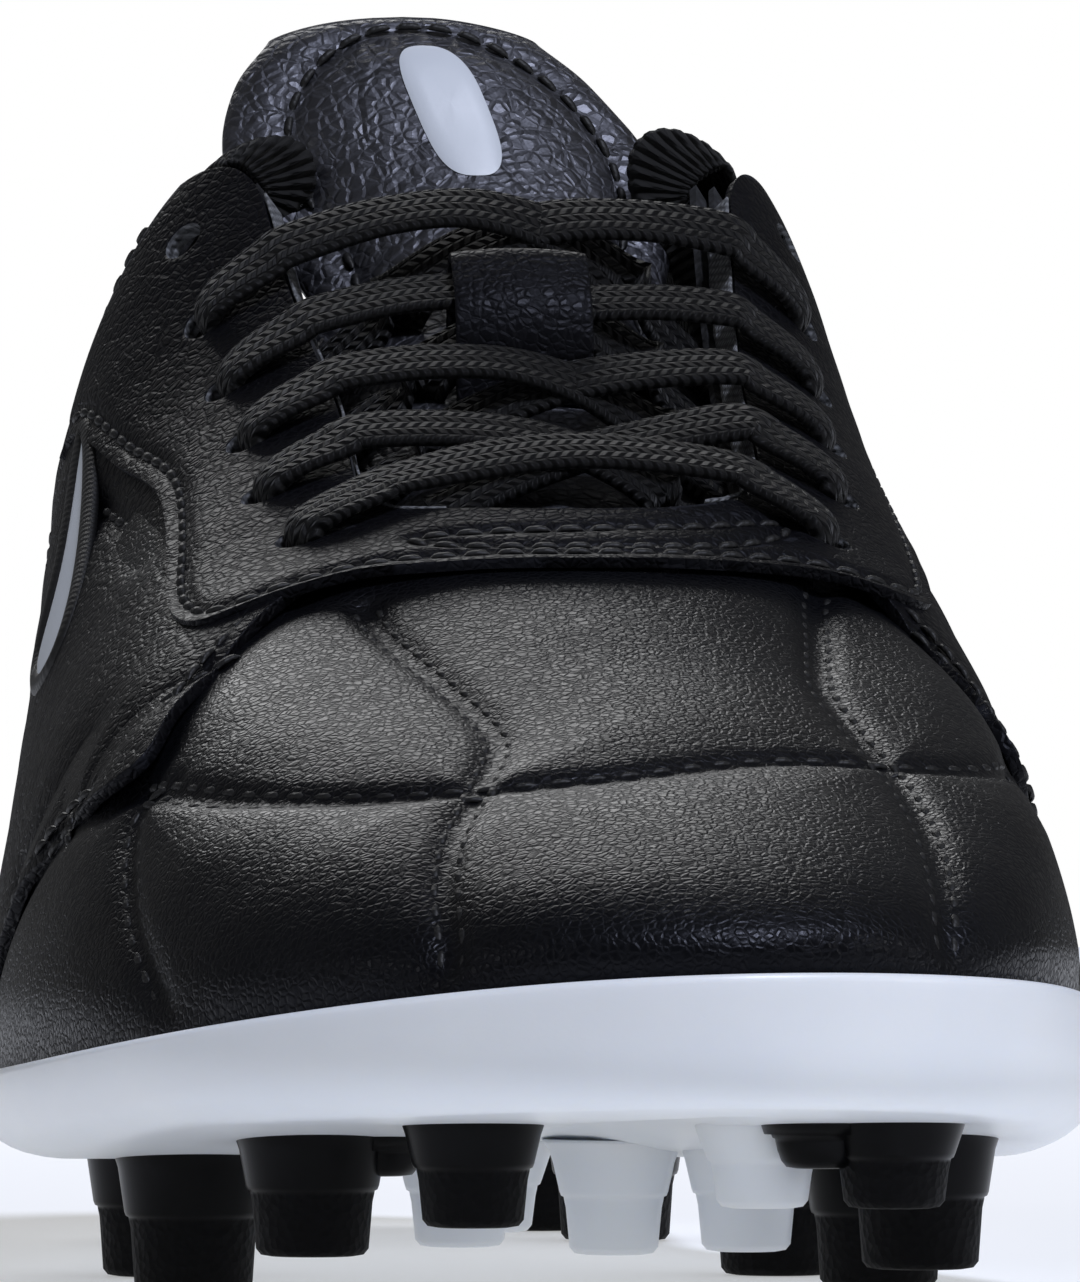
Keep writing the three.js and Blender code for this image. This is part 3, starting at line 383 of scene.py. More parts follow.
finishes = {
    "leather": grainedLeather("black_pu_leather_pebbled", "#040406", "#08080b", 1.15, 0.13, 0.38, 0.3, 0.11),
    "toeLeather": grainedLeather("black_pu_leather_fine", "#040406", "#08090c", 0.8, 0.08, 0.3, 0.2),
    "overlay": grainedLeather("black_pu_leather_overlay", "#040406", "#08080b", 1.05, 0.12, 0.4, 0.3, 0.11),
    "tongueLeather": grainedLeather("black_pu_leather_tongue", "#060608", "#0c0c0f", 1.5, 0.2, 0.42, 0.45, 0.9),
    "rawEdge": plainWeave("cut_microfibre_edge", "#232427", "#6f7175", 0.4),
    "plate": mouldedPlastic("bluish_white_tpu_moulded", "#eef2f7", "#e3e8f0", 0.34, 0.6, 0.03, 0.25),
    "stud": roughStud("black_tpu_stud_spark_eroded", "#050507", 0),
    "lace": braidedLace("black_polyester_flat_braid", "#010102", "#070709", 1.25, 7.0),
    "knit": ribbedKnit("black_spacer_knit_ribbed", "#020203", "#0d0d0f", 1.2, 1.0),
    "lining": plainWeave("black_brushed_lining", "#0c0c0e", "#26272b", 0.9),
    "thread": sewingThread("black_bonded_thread", "#0c0c0e", "#040405"),
    "mark": mouldedPlastic("white_transfer_print", "#c9ced6", "#bcc2cb", 0.4, 0.5, 0.02),
    "board": plainWeave("tan_fibre_board", "#6b5c46", "#9c8a6d", 1.1),
    "stiffener": plainWeave("pale_thermoplastic_sheet", "#6d675a", "#a49c8a", 0.8, 0.6),
    "foam": plainWeave("black_pu_foam", "#101012", "#1d1d20", 1.2),
    "sockliner": plainWeave("black_sockliner_cloth", "#101114", "#2d2e33", 1.1),
    "aglet": mouldedPlastic("black_acetate_aglet", "#17181b", "#101114", 0.2, 0.9, 0.01),
}
print("materials are made")


# ---- the boot's surface
# Stations round the upper: heel, lateral side, toe, medial side.
# foot x y z | top x y z | lower handle out, up | upper handle out, down
stations = np.array([
    [0, 138, 26, 0, 131, 88, 3, 24, 7, 26],
    [-24, 123, 25, -22, 117, 84, 3, 22, 4, 22],
    [-33, 93, 23, -34, 92, 77, 4, 18, 4, 18],
    [-35.5, 62, 21, -36, 62, 88, 4, 22, 3, 22],
    [-40, 34, 20, -23, 45, 112, 3, 30, 19, 17],
    [-46.5, 6, 19.5, -17.5, 24, 99, 0, 28, 22, 11],
    [-50, -34, 20, -14.5, -3, 84, -2, 22, 24, 9],
    [-46.5, -76, 22, -13.5, -24, 74, -1, 18, 25, 8],
    [-34, -109, 25.5, -8, -33, 72, 0, 12, 38, 14],
    [-12, -131, 29, -1, -36, 72, 1, 10, 54, 23],
    [12, -138, 30.5, 5.5, -36.6, 72, 1, 10, 60, 26],
    [32, -127, 30, 12, -35.5, 72.2, 1, 10, 51, 24],
    [43, -104, 28.5, 19, -31.5, 73, 0, 10, 32, 15],
    [49, -72, 26.5, 24, -22, 75.5, -1, 15, 20, 9],
    [48.5, -40, 24.5, 25, -3, 84, -1, 18, 21, 8],
    [41, -5, 22.5, 26.5, 24, 99, 1, 24, 20, 11],
    [33, 28, 22, 29, 44, 112, 4, 28, 15, 18],
    [30, 60, 23, 35, 62, 90, 5, 24, 4, 22],
    [31, 93, 24, 33, 92, 78, 4, 18, 3, 18],
    [23, 123, 25.5, 21.5, 117, 84, 3, 22, 4, 22],
], float)
boxShift = 0.1
rimDepth = 5.0
stations[:, 0] += boxShift
stations[:, 3] += boxShift
stationCount = len(stations)
toeStation = stationCount // 2


def splineThrough(rows):
    # control rows of the closed uniform cubic spline that passes through the given rows
    control = rows.copy()
    for _ in range(60):
        control += rows - (np.roll(control, 1, 0) + 4 * control + np.roll(control, -1, 0)) / 6
    return control


stationSpline = splineThrough(stations)


def stationAt(u):
    # cubic B-spline blend of the four nearest control rows
    u = np.asarray(u, float) % stationCount
    first = np.floor(u).astype(int)
    t = (u - first)[..., None]
    weights = [(1 - t) ** 3 / 6, (3 * t ** 3 - 6 * t ** 2 + 4) / 6,
               (-3 * t ** 3 + 3 * t ** 2 + 3 * t + 1) / 6, t ** 3 / 6]
    return sum(w * stationSpline[(first + k - 1) % stationCount] for k, w in enumerate(weights))


def outwardAt(u):
    # level direction square to the foot line, away from the foot
    along = stationAt(np.asarray(u) + 0.01)[..., :2] - stationAt(np.asarray(u) - 0.01)[..., :2]
    out = np.stack([along[..., 1], -along[..., 0], 0 * along[..., 0]], -1)
    return out / np.linalg.norm(out, axis=-1, keepdims=True)


def facePoint(u, v):
    # cubic curve from foot edge to top line; below v = 0 it runs straight down behind the plate's rim
    u, v = np.broadcast_arrays(np.asarray(u, float), np.asarray(v, float))
    row = stationAt(u)
    out = outwardAt(u)
    up = np.array([0.0, 0.0, 1.0])
    foot, top = row[..., 0:3], row[..., 3:6]
    lower = foot + out * row[..., 6:7] + up * row[..., 7:8]
    upper = top + out * row[..., 8:9] - up * row[..., 9:10]
    w = np.clip(v, 0, None)[..., None]
    point = ((1 - w) ** 3 * foot + 3 * w * (1 - w) ** 2 * lower
             + 3 * w ** 2 * (1 - w) * upper + w ** 3 * top)
    return point + up * (np.minimum(v, 0) * rimDepth)[..., None]


def faceNormal(u, v):
    u, v = np.broadcast_arrays(np.asarray(u, float), np.asarray(v, float))
    inside = np.clip(v, 0.0, 1.0)
    along = facePoint(u + 0.02, inside) - facePoint(u - 0.02, inside)
    up = facePoint(u, np.minimum(inside + 0.01, 1)) - facePoint(u, np.maximum(inside - 0.01, 0))
    normal = np.cross(along, up)
    normal /= np.linalg.norm(normal, axis=-1, keepdims=True)
    return np.where((v < 0)[..., None], outwardAt(u), normal)


def skinPoint(u, v, offset=0.0):
    return facePoint(u, v) + faceNormal(u, v) * np.asarray(offset, float)[..., None]


def vBelowTop(u, distance):
    # the v that lies a distance below the top line, measured along the leather
    u = np.atleast_1d(np.asarray(u, float))
    distance = np.broadcast_to(np.asarray(distance, float), u.shape)
    v = np.linspace(1, 0, 121)
    path = facePoint(u[:, None], v[None, :])
    walked = np.linalg.norm(np.diff(path, axis=1), axis=-1).cumsum(1)
    walked = np.concatenate([np.zeros((len(u), 1)), walked], 1)
    step = (walked < distance[:, None]).sum(1).clip(1, len(v) - 1)
    row = np.arange(len(u))
    before, after = walked[row, step - 1], walked[row, step]
    share = np.clip((distance - before) / (after - before), 0, 1)
    return v[step - 1] + (v[step] - v[step - 1]) * share


def smoothStep(value, low, high):
    t = np.clip((np.asarray(value, float) - low) / (high - low), 0, 1)
    return t * t * (3 - 2 * t)


def catmull(points, samples):
    # smooth curve through given points, in any number of columns
    points = np.asarray(points, float)
    ghost = np.vstack([2 * points[0] - points[1], points, 2 * points[-1] - points[-2]])
    at = np.linspace(0, len(points) - 1 - 1e-9, samples)
    k = np.floor(at).astype(int)
    t = (at - k)[:, None]
    a, b, c, d = ghost[k], ghost[k + 1], ghost[k + 2], ghost[k + 3]
    return 0.5 * (2 * b + (c - a) * t + (2 * a - 5 * b + 4 * c - d) * t ** 2
                  + (3 * b - a - 3 * c + d) * t ** 3)


# ---- mesh making
def makeObject(name, points, faces, material, uv=None, smooth=True, extra=None):
    mesh = bpy.data.meshes.new(name)
    mesh.from_pydata((np.asarray(points).reshape(-1, 3) * millimetre).tolist(), [], faces.tolist())
    if uv is not None:
        layer = mesh.uv_layers.new(name="weave")
        layer.data.foreach_set("uv", np.asarray(uv, float).reshape(-1, 2)[faces.ravel()].ravel())
    if extra is not None:
        attribute = mesh.attributes.new("rough", "FLOAT", "POINT")
        attribute.data.foreach_set("value", np.asarray(extra, float).ravel())
    mesh.polygons.foreach_set("use_smooth", [smooth] * len(mesh.polygons))
    mesh.materials.append(finishes[material])
    mesh.update()
    piece = bpy.data.objects.new(name, mesh)
    bpy.context.collection.objects.link(piece)
    return piece


def gridFaces(rows, columns, closedRows=False, closedColumns=False):
    # quads of a grid of points, wrapped round where the grid closes on itself
    i = np.arange(rows if closedRows else rows - 1)
    j = np.arange(columns if closedColumns else columns - 1)
    i, j = np.meshgrid(i, j, indexing="ij")
    nextI, nextJ = (i + 1) % rows, (j + 1) % columns
    quads = np.stack([i * columns + j, nextI * columns + j, nextI * columns + nextJ, i * columns + nextJ], -1)
    return quads.reshape(-1, 4)


def makeSheet(name, points, material, thickness=0.0, uv=None, edge=0.0):
    # a grid of points as a sheet, thickened away from its face and given a rounded rim
    rows, columns = points.shape[:2]
    piece = makeObject(name, points, gridFaces(rows, columns), material, uv)
    if thickness:
        wall = piece.modifiers.new("wall", "SOLIDIFY")
        wall.thickness = thickness * millimetre
        wall.offset = -1
        wall.use_even_offset = False
    if edge:
        rim = piece.modifiers.new("rim", "BEVEL")
        rim.width = edge * millimetre
        rim.segments = 3
        rim.limit_method = "ANGLE"
        rim.angle_limit = math.radians(50)
    if thickness or edge:
        applyModifiers(piece)
    return piece


def applyModifiers(piece, sharp=None):
    graph = bpy.context.evaluated_depsgraph_get()
    finished = bpy.data.meshes.new_from_object(piece.evaluated_get(graph))
    finished.name = piece.name
    piece.modifiers.clear()
    piece.data = finished
    if sharp:
        finished.set_sharp_from_angle(angle=math.radians(sharp))


def makeTube(name, rings, material, uv=None, caps=True, extra=None):
    # rings of points joined into a closed tube, with a point in the middle of each end
    count, around = rings.shape[:2]
    faces = gridFaces(count, around, closedColumns=True)
    points = rings.reshape(-1, 3)
    piece = makeObject(name, points, faces, material, uv, extra=extra)
    if caps:
        capEnds(piece, count, around)
    return piece


def capEnds(piece, count, around):
    mesh = piece.data
    import bmesh
    work = bmesh.new()
    work.from_mesh(mesh)
    work.verts.ensure_lookup_table()
    work.faces.new([work.verts[k] for k in range(around)][::-1]).smooth = True
    work.faces.new([work.verts[(count - 1) * around + k] for k in range(around)]).smooth = True
    bmesh.ops.recalc_face_normals(work, faces=work.faces)
    work.to_mesh(mesh)
    work.free()


def settle(piece, body, slot, *nodes):
    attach(piece, body)
    if nodes:
        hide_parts(*nodes)


# ---- seams: curves on the leather, as (u, v) points
seams = {
    "toeLine": [(7.4, 0.44), (7.8, 0.46), (8.6, 0.49), (9.25, 0.53), (9.75, 0.57),
                (10.2, 0.61), (10.7, 0.59), (11.3, 0.55), (11.9, 0.5), (12.6, 0.44)],
    "lateralLine": [(8.5, 0.86), (9.15, 0.78), (9.45, 0.67), (9.36, 0.55), (9.15, 0.4), (9.0, 0.25),
                    (8.88, 0.04)],
    "medialLine": [(12.4, 0.86), (11.6, 0.87), (11.05, 0.84), (10.66, 0.77), (10.58, 0.68), (10.6, 0.6),
                   (10.66, 0.38), (10.74, 0.2), (10.82, 0.04)],
    "farLateralLine": [(7.75, 0.47), (7.5, 0.4), (7.53, 0.27), (7.68, 0.14), (7.8, 0.03)],
    "farMedialLine": [(12.5, 0.44), (12.7, 0.3), (12.65, 0.15), (12.55, 0.03)],
}
quarterFront = {
    "lateral": [(5.7, 0.0), (5.95, 0.12), (6.3, 0.24), (6.8, 0.35), (7.3, 0.43), (7.58, 0.5), (7.68, 0.6),
                (7.8, 0.72), (7.92, 0.84), (8.1, 1.0)],
    "medial": [(14.3, 0.0), (14.05, 0.12), (13.7, 0.24), (13.2, 0.35), (12.85, 0.43), (12.66, 0.5),
               (12.6, 0.6), (12.52, 0.72), (12.45, 0.84), (12.3, 1.0)],
}
relief = {"groove": 0.8, "grooveWidth": 1.7, "puff": 0.75, "puffWidth": 6.5, "doubleGap": 1.2}


def seamTrack(points, samples=240):
    return catmull(points, samples)


seamPlaces = np.concatenate([facePoint(*seamTrack(points).T) for points in seams.values()])
edgePlaces = np.concatenate([facePoint(*seamTrack([(u, v) for u, v in points]).T)
                             for points in quarterFront.values()])


def nearest(points, targets):
    # distance from every point to the closest target, worked out in slices to keep the arrays small
    flat = points.reshape(-1, 3)
    parts = [np.sqrt(((flat[k:k + 4000, None] - targets[None]) ** 2).sum(-1).min(1))
             for k in range(0, len(flat), 4000)]
    return np.concatenate(parts).reshape(points.shape[:-1])


def softNoise(points, wavelength, seed):
    # a few crossed sine waves with seeded directions and phases
    random = np.random.default_rng(seed)
    total = 0
    for _ in range(7):
        direction = random.normal(size=3)
        direction *= 2 * math.pi / (wavelength * random.uniform(0.7, 1.5) * np.linalg.norm(direction))
        total = total + np.sin(points @ direction + random.uniform(0, 6.28))
    return total / 7


def vampRelief(points):
    # panels swell between the stitch lines and sink to a groove along them
    away = nearest(points, seamPlaces)
    swell = relief["puff"] * (1 - np.exp(-(away / relief["puffWidth"]) ** 2))
    groove = -relief["groove"] * np.exp(-(away / relief["grooveWidth"]) ** 2)
    tuck = -0.9 * np.exp(-(nearest(points, edgePlaces) / 3.0) ** 2)
    return swell + groove + tuck + 0.12 * softNoise(points, 17, 3)


def makeVamp():
    u = np.linspace(5.5, 14.5, 460)[:, None]
    v = np.concatenate([[-0.8, -0.4], np.linspace(0, 1, 150)])[None, :]
    base = skinPoint(u, v, np.zeros(1))
    fade = smoothStep(v, 0.0, 0.12) * (1 - 0.6 * smoothStep(v, 0.9, 1.0))
    height = vampRelief(base) * fade
    piece = makeSheet("vamp_shell", skinPoint(u, v, height), "toeLeather", 1.3)
    settle(piece, root, "leather", "vamp")
    return piece


# seams sewn through the quarters, as (u, v) points: quilting by the ball of the foot, a short bar
# from the patch to the facing, and the heel counter's edge
quarterLines = {
    "lateral": [[(6.15, 0.26), (6.42, 0.36), (6.62, 0.45), (6.72, 0.38), (6.85, 0.3)],
                [(7.9, 0.72), (7.45, 0.6), (7.1, 0.5), (6.85, 0.38), (6.55, 0.3)],
                [(5.05, 0.62), (5.5, 0.66), (5.95, 0.68)],
                [(2.9, 0.03), (2.85, 0.2), (2.6, 0.4), (2.1, 0.56), (1.4, 0.66), (0.6, 0.7)]],
    "medial": [[(13.85, 0.26), (13.6, 0.36), (13.4, 0.45), (13.3, 0.38), (13.15, 0.3)],
               [(12.5, 0.72), (12.75, 0.6), (12.95, 0.5), (13.15, 0.38), (13.45, 0.3)],
               [(14.95, 0.62), (14.5, 0.66), (14.05, 0.68)],
               [(17.1, 0.03), (17.15, 0.2), (17.4, 0.4), (17.9, 0.56), (18.6, 0.66), (19.4, 0.7)]],
}
quarterLinePlaces = np.concatenate([facePoint(*seamTrack(points, 120).T)
                                    for lines in quarterLines.values() for points in lines])


def quarterEdge(side, v):
    track = seamTrack(quarterFront[side], 200)
    return np.interp(v, track[:, 1], track[:, 0])


def quarterRelief(points, v):
    fold = 0.25 * softNoise(points, 26, 5) + 0.12 * softNoise(points, 9, 8)
    lines = nearest(points, quarterLinePlaces)
    sewn = 0.8 * (1 - np.exp(-(lines / 5.0) ** 2)) - 0.5 * np.exp(-(lines / 1.6) ** 2)
    return (0.75 + sewn) * smoothStep(v, 0.02, 0.14) + fold * smoothStep(v, 0.05, 0.3)


collarDrop = 2.6  # how far the leather stops short of the padded top line


def makeQuarter(side):
    v = np.concatenate([[-0.8, -0.4], np.linspace(0, 1, 130)])[None, :]
    edge = quarterEdge(side, np.clip(v, 0, 1))
    share = np.linspace(0, 1, 260)[:, None]
    if side == "lateral":
        u = 0.02 + (edge - 0.02) * share
    else:
        u = edge + (stationCount - 0.02 - edge) * share
    base = facePoint(u, v + 0 * u)
    height = quarterRelief(base, v + 0 * u)
    away = np.minimum(u, stationCount - u)
    dropped = collarDrop * smoothStep(away, 4.7, 4.2) + 3.2 * np.exp(-((away - 4.05) / 0.3) ** 2)
    lowered = np.clip(v, 0, 1) * (1 - dropped / 70) + np.minimum(v, 0)
    points = skinPoint(u, lowered, height)
    piece = makeSheet("quarter_" + side + "_shell", points, "leather", 1.3, edge=0.25)
    settle(piece, root, "leather", "quarter_" + side)
    return piece


vamp = makeVamp()
quarters = [makeQuarter("lateral"), makeQuarter("medial")]
print("vamp and quarters are made")

# ---- facing, the overlay round the throat
facing = {"start": 4.1, "end": 15.9, "outer": 2.1, "wall": 1.05, "stitchInset": 2.4}
# the facing's width below the throat edge, along the leather, at stations from the lateral collar end
facingShape = np.array([(4.1, 36), (4.6, 31), (5.1, 25.5), (5.7, 21), (6.3, 22.5), (6.9, 26.5), (7.4, 27),
                        (7.9, 21), (8.4, 16), (9.2, 13.5), (10.0, 13), (11.0, 13), (11.8, 15), (12.6, 20),
                        (13.2, 24), (14.0, 24), (15.0, 26), (15.9, 33)], float)
eyelets = {"pairs": 6, "laced": 5, "spacing": 15.3, "inset": 9.5, "radius": 2.3,
           "first": {"lateral": 7.3, "medial": 12.6}, "heading": {"lateral": -1, "medial": 1}}


def facingWidth(u):
    track = catmull(facingShape, 300)
    return np.interp(u, track[:, 0], track[:, 1])


def bridgeFigure(samples=300):
    # a long rounded outline stitched on the bridge below the throat
    angle = np.linspace(0, 2 * math.pi, samples)
    u = 10.35 + 1.95 * np.sign(np.cos(angle)) * np.abs(np.cos(angle)) ** 0.7
    inset = 6.6 + 2.3 * np.sin(angle) - 0.5 * (u - 10.35)
    return u, vBelowTop(u, inset)


def facingTop(u, inset):
    return u, vBelowTop(u, inset)


def facingCorner(u):
    # the top corners by the collar are cut away in a round
    fromEnd = np.minimum(u - facing["start"], facing["end"] - u)
    return 5.5 * np.clip(1 - fromEnd / 0.55, 0, 1) ** 2


def makeFacing():
    u = np.linspace(facing["start"], facing["end"], 420)
    low = vBelowTop(u, facingWidth(u))
    high = vBelowTop(u, facingCorner(u))
    share = np.linspace(0, 1, 60)
    v = low[:, None] + (high - low)[:, None] * share[None, :]
    base = facePoint(u[:, None], v)
    lines = [facePoint(*bridgeFigure()), facePoint(*facingTop(u, facingWidth(u) - facing["stitchInset"]))]
    away = nearest(base, np.concatenate(lines))
    height = facing["outer"] + 0.15 * softNoise(base, 14, 11) - 0.45 * np.exp(-(away / 1.1) ** 2)
    points = skinPoint(u[:, None], v, height)
    piece = makeSheet("facing_shell", points, "overlay", facing["wall"], edge=0.3)
    settle(piece, root, "overlay", "facing")
    return piece


def eyeletStations(side):
    # steps along the row by the eyelet spacing, measured on the leather
    heading = eyelets["heading"][side]
    u = eyelets["first"][side] + heading * np.linspace(0, 4.2, 211)
    track = facePoint(u, vBelowTop(u, eyelets["inset"]))
    walked = np.concatenate([[0], np.linalg.norm(np.diff(track, axis=0), axis=1).cumsum()])
    return lambda index: float(np.interp(index * eyelets["spacing"], walked, u))


eyeletAt = {side: eyeletStations(side) for side in ("lateral", "medial")}


def punchPins():
    # one cutter made of a short round pin square to the leather at each eyelet
    around = np.linspace(0, 2 * math.pi, 20, endpoint=False)
    groups = []
    for side in ("lateral", "medial"):
        for index in range(eyelets["pairs"]):
            u = eyeletAt[side](index)
            v = float(vBelowTop(u, eyelets["inset"])[0])
            middle = facePoint(u, v)
            normal = faceNormal(u, v)
            first = np.cross(normal, [0, 0, 1.0])
            first /= np.linalg.norm(first)
            second = np.cross(normal, first)
            ring = np.cos(around)[:, None] * first + np.sin(around)[:, None] * second
            groups.append(np.stack([middle + ring * eyelets["radius"] - normal * 9,
                                    middle + ring * eyelets["radius"] + normal * 9]))
    return groups


def punch(piece, keep):
    import bmesh
    work = bmesh.new()
    for pin in punchPins():
        low = [work.verts.new(p * millimetre) for p in pin[0]]
        high = [work.verts.new(p * millimetre) for p in pin[1]]
        count = len(low)
        for k in range(count):
            work.faces.new([low[k], low[(k + 1) % count], high[(k + 1) % count], high[k]])
        work.faces.new(low[::-1])
        work.faces.new(high)
    bmesh.ops.recalc_face_normals(work, faces=work.faces)
    mesh = bpy.data.meshes.new("pins")
    work.to_mesh(mesh)
    work.free()
    mesh.materials.append(finishes["rawEdge"])
    cutter = bpy.data.objects.new("pins", mesh)
    bpy.context.collection.objects.link(cutter)
    cut = piece.modifiers.new("holes", "BOOLEAN")
    cut.operation = "DIFFERENCE"
    cut.solver = keep
    cut.object = cutter
    cut.material_mode = "TRANSFER"
    applyModifiers(piece)
    bpy.data.objects.remove(cutter)


facingPiece = makeFacing()
for leather in [facingPiece, vamp, *quarters]:
    punch(leather, "EXACT")
print("facing is made and the eyelets are punched")


# ---- stitching
stitch = {"pitch": 3.2, "length": 2.7, "width": 0.98, "height": 0.66}


def stitchTemplate():
    # one stitch: a tapered rod whose ends dip into the leather
    along = np.linspace(-1, 1, 7)
    around = np.linspace(0, 2 * math.pi, 6, endpoint=False)
    thick = np.sqrt(np.clip(1 - 0.9 * along ** 4, 0, 1))
    x = np.repeat(along[:, None], 6, 1)
    y = thick[:, None] * np.cos(around)
    z = thick[:, None] * np.sin(around) - 0.9 * np.abs(along[:, None]) ** 3
    return np.stack([x, y, z], -1).reshape(-1, 3)


def stitchesAlong(path, normals, settings=stitch):
    # stitches spaced evenly along a path; gives the points of each one as (count, points, 3)
    walked = np.concatenate([[0], np.linalg.norm(np.diff(path, axis=0), axis=1).cumsum()])
    count = max(1, int(walked[-1] / settings["pitch"]))
    at = (np.arange(count) + 0.5) * walked[-1] / count
    middle = np.stack([np.interp(at, walked, path[:, k]) for k in range(3)], -1)
    normal = np.stack([np.interp(at, walked, normals[:, k]) for k in range(3)], -1)
    ahead = np.stack([np.interp(at + 0.5, walked, path[:, k]) for k in range(3)], -1)
    behind = np.stack([np.interp(at - 0.5, walked, path[:, k]) for k in range(3)], -1)
    along = ahead - behind
    along -= normal * (along * normal).sum(-1, keepdims=True)
    along /= np.linalg.norm(along, axis=-1, keepdims=True)
    sideways = np.cross(normal, along)
    shape = stitchTemplate()
    size = np.array([settings["length"] / 2, settings["width"] / 2, settings["height"] / 2])
    local = shape * size
    return (middle[:, None] + local[None, :, 0:1] * along[:, None]
            + local[None, :, 1:2] * sideways[:, None] + local[None, :, 2:3] * normal[:, None])


def makeStitching(name, runs, body=root):
    # all the stitches of one group of seams as one piece of many small closed rods
    groups = np.concatenate([stitchesAlong(path, normals) for path, normals in runs])
    count = len(groups)
    rods = gridFaces(7, 6, closedColumns=True)
    caps = np.array([[5, 4, 3, 2], [5, 2, 1, 0], [36, 37, 38, 39], [36, 39, 40, 41]])
    one = np.concatenate([rods, caps])
    faces = (one[None] + (np.arange(count) * 42)[:, None, None]).reshape(-1, 4)
    grid = np.stack(np.meshgrid(np.linspace(0, 3, 7), np.linspace(0, 1, 6), indexing="ij"), -1)
    uv = np.tile(grid.reshape(1, -1, 2), (count, 1, 1))
    piece = makeObject(name, groups, faces, "thread", uv)
    if body:
        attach(piece, body)
    return piece


def besideSeam(points, shift, lift, heightOf):
    # a seam's path moved sideways on the leather by shift, and lifted to the stitched face
    track = seamTrack(points, 200)
    place = facePoint(*track.T)
    normal = faceNormal(*track.T)
    along = np.gradient(place, axis=0)
    sideways = np.cross(normal, along)
    sideways /= np.linalg.norm(sideways, axis=-1, keepdims=True)
    return place + sideways * shift + normal * (heightOf(place)[:, None] + lift), normal


def vampHeight(place):
    return vampRelief(place)


vampRuns = []
for seam in ("toeLine", "lateralLine", "medialLine", "farLateralLine", "farMedialLine"):
    for shift in (-relief["doubleGap"], relief["doubleGap"]):
        vampRuns.append(besideSeam(seams[seam], shift, 0.12, vampHeight))
makeStitching("vamp_stitching", vampRuns)

quarterRuns = []
for side, turn in (("lateral", 1), ("medial", -1)):
    for inset in (1.9,):
        quarterRuns.append(besideSeam(quarterFront[side][1:-1], turn * inset, 1.05, lambda p: 0 * p[:, 0]))
    for points in quarterLines[side]:
        quarterRuns.append(besideSeam(points, 0, 0.1, lambda p: quarterRelief(p, np.full(len(p), 0.5))))


def collarRun(start, end):
    u = np.linspace(start, end, 500)
    v = vBelowTop(u, 9.5)
    place = facePoint(u, v)
    return skinPoint(u, v, quarterRelief(place, v) + 0.1), faceNormal(u, v)


makeStitching("quarter_stitching", [*quarterRuns, collarRun(0.4, 4.0), collarRun(16.0, 19.6)])


def facingRun(inset, start, end):
    # a line a fixed distance inside the facing's lower edge
    u = np.linspace(start, end, 400)
    v = vBelowTop(u, facingWidth(u) - inset)
    return skinPoint(u, v, np.full(400, facing["outer"] - 0.3)), faceNormal(u, v)


figureU, figureV = bridgeFigure()
figureRun = (skinPoint(figureU, figureV, np.full(300, facing["outer"] - 0.3)), faceNormal(figureU, figureV))
makeStitching("facing_stitching", [facingRun(facing["stitchInset"], 4.2, 15.8), figureRun])


def makeRawEdge(side, start, end):
    # the cut face of the layers along the throat, a paler grey than the coated leather
    u = np.linspace(start, end, 160)
    offset = np.linspace(-1.3, facing["outer"] + 0.05, 8)
    edge = facePoint(u, 1.0)
    inwards = edge - facePoint(u, 0.96)
    inwards /= np.linalg.norm(inwards, axis=1, keepdims=True)
    normal = faceNormal(u, np.full_like(u, 1.0))
    fray = 0.32 + 0.12 * softNoise(edge, 3.0, 31)
    points = (edge + inwards * fray[:, None])[:, None] + normal[:, None] * offset[None, :, None]
    piece = makeSheet("throat_edge_" + side, points, "rawEdge", 0.25)
    settle(piece, root, "overlay")


makeRawEdge("lateral", 4.62, 8.2)
makeRawEdge("medial", 11.9, 15.38)
print("stitching is made")

# ---- tongue
# y | centre x | crown z | half width | drop of the edges
tongueSections = np.array([
    [-50, 5, 58, 20, 5],
    [-34, 5, 64, 24, 9],
    [-10, 5, 75.5, 26, 12],
    [10, 5, 86, 26.5, 13],
    [22, 4.6, 93, 26, 13],
    [32, 4.4, 100, 21, 9],
    [38, 4, 105.5, 19.5, 7.5],
    [45, 2.5, 113, 22.5, 8],
    [51, 0, 121, 23.5, 7.5],
    [56, -2, 127, 20, 5.5],
    [58.5, -3, 130, 15, 2.5],
], float)
tongue = {"wall": 5.2, "sink": 0.28, "hinge": (4.5, 32.0, 98.5)}


def tongueAt(section, across):
    # point and normal of the tongue's outer face: a crowned arc carried along the smoothed sections
    track = catmull(tongueSections, 10 * (len(tongueSections) - 1) + 1)
    at = np.arange(len(track)) / 10
    row = np.stack([np.interp(section, at, track[:, k]) for k in range(5)], -1)
    ahead = np.stack([np.interp(section + 0.15, at, track[:, k]) for k in (0, 2)], -1)
    behind = np.stack([np.interp(section - 0.15, at, track[:, k]) for k in (0, 2)], -1)
    slope = ahead - behind
    slope /= np.linalg.norm(slope, axis=-1, keepdims=True)
    turn = np.arctan2(2 * row[..., 4] * across, row[..., 3])
    normal = np.stack([np.sin(turn), -slope[..., 1] * np.cos(turn), slope[..., 0] * np.cos(turn)], -1)
    point = np.stack([row[..., 1] + boxShift + across * row[..., 3], row[..., 0] + 0 * across,
                      row[..., 2] - row[..., 4] * across ** 2], -1)
    return point - normal * tongue["sink"], normal


def tonguePoint(section, across, depth):
    point, normal = tongueAt(np.asarray(section, float), np.asarray(across, float))
    return point - normal * np.asarray(depth, float)[..., None]


archSeam = [(4.9, -0.72), (6.2, -0.74), (7.6, -0.72), (8.6, -0.55), (9.15, -0.25), (9.25, 0.0),
            (9.15, 0.25), (8.6, 0.55), (7.6, 0.72), (6.2, 0.74), (4.9, 0.72)]


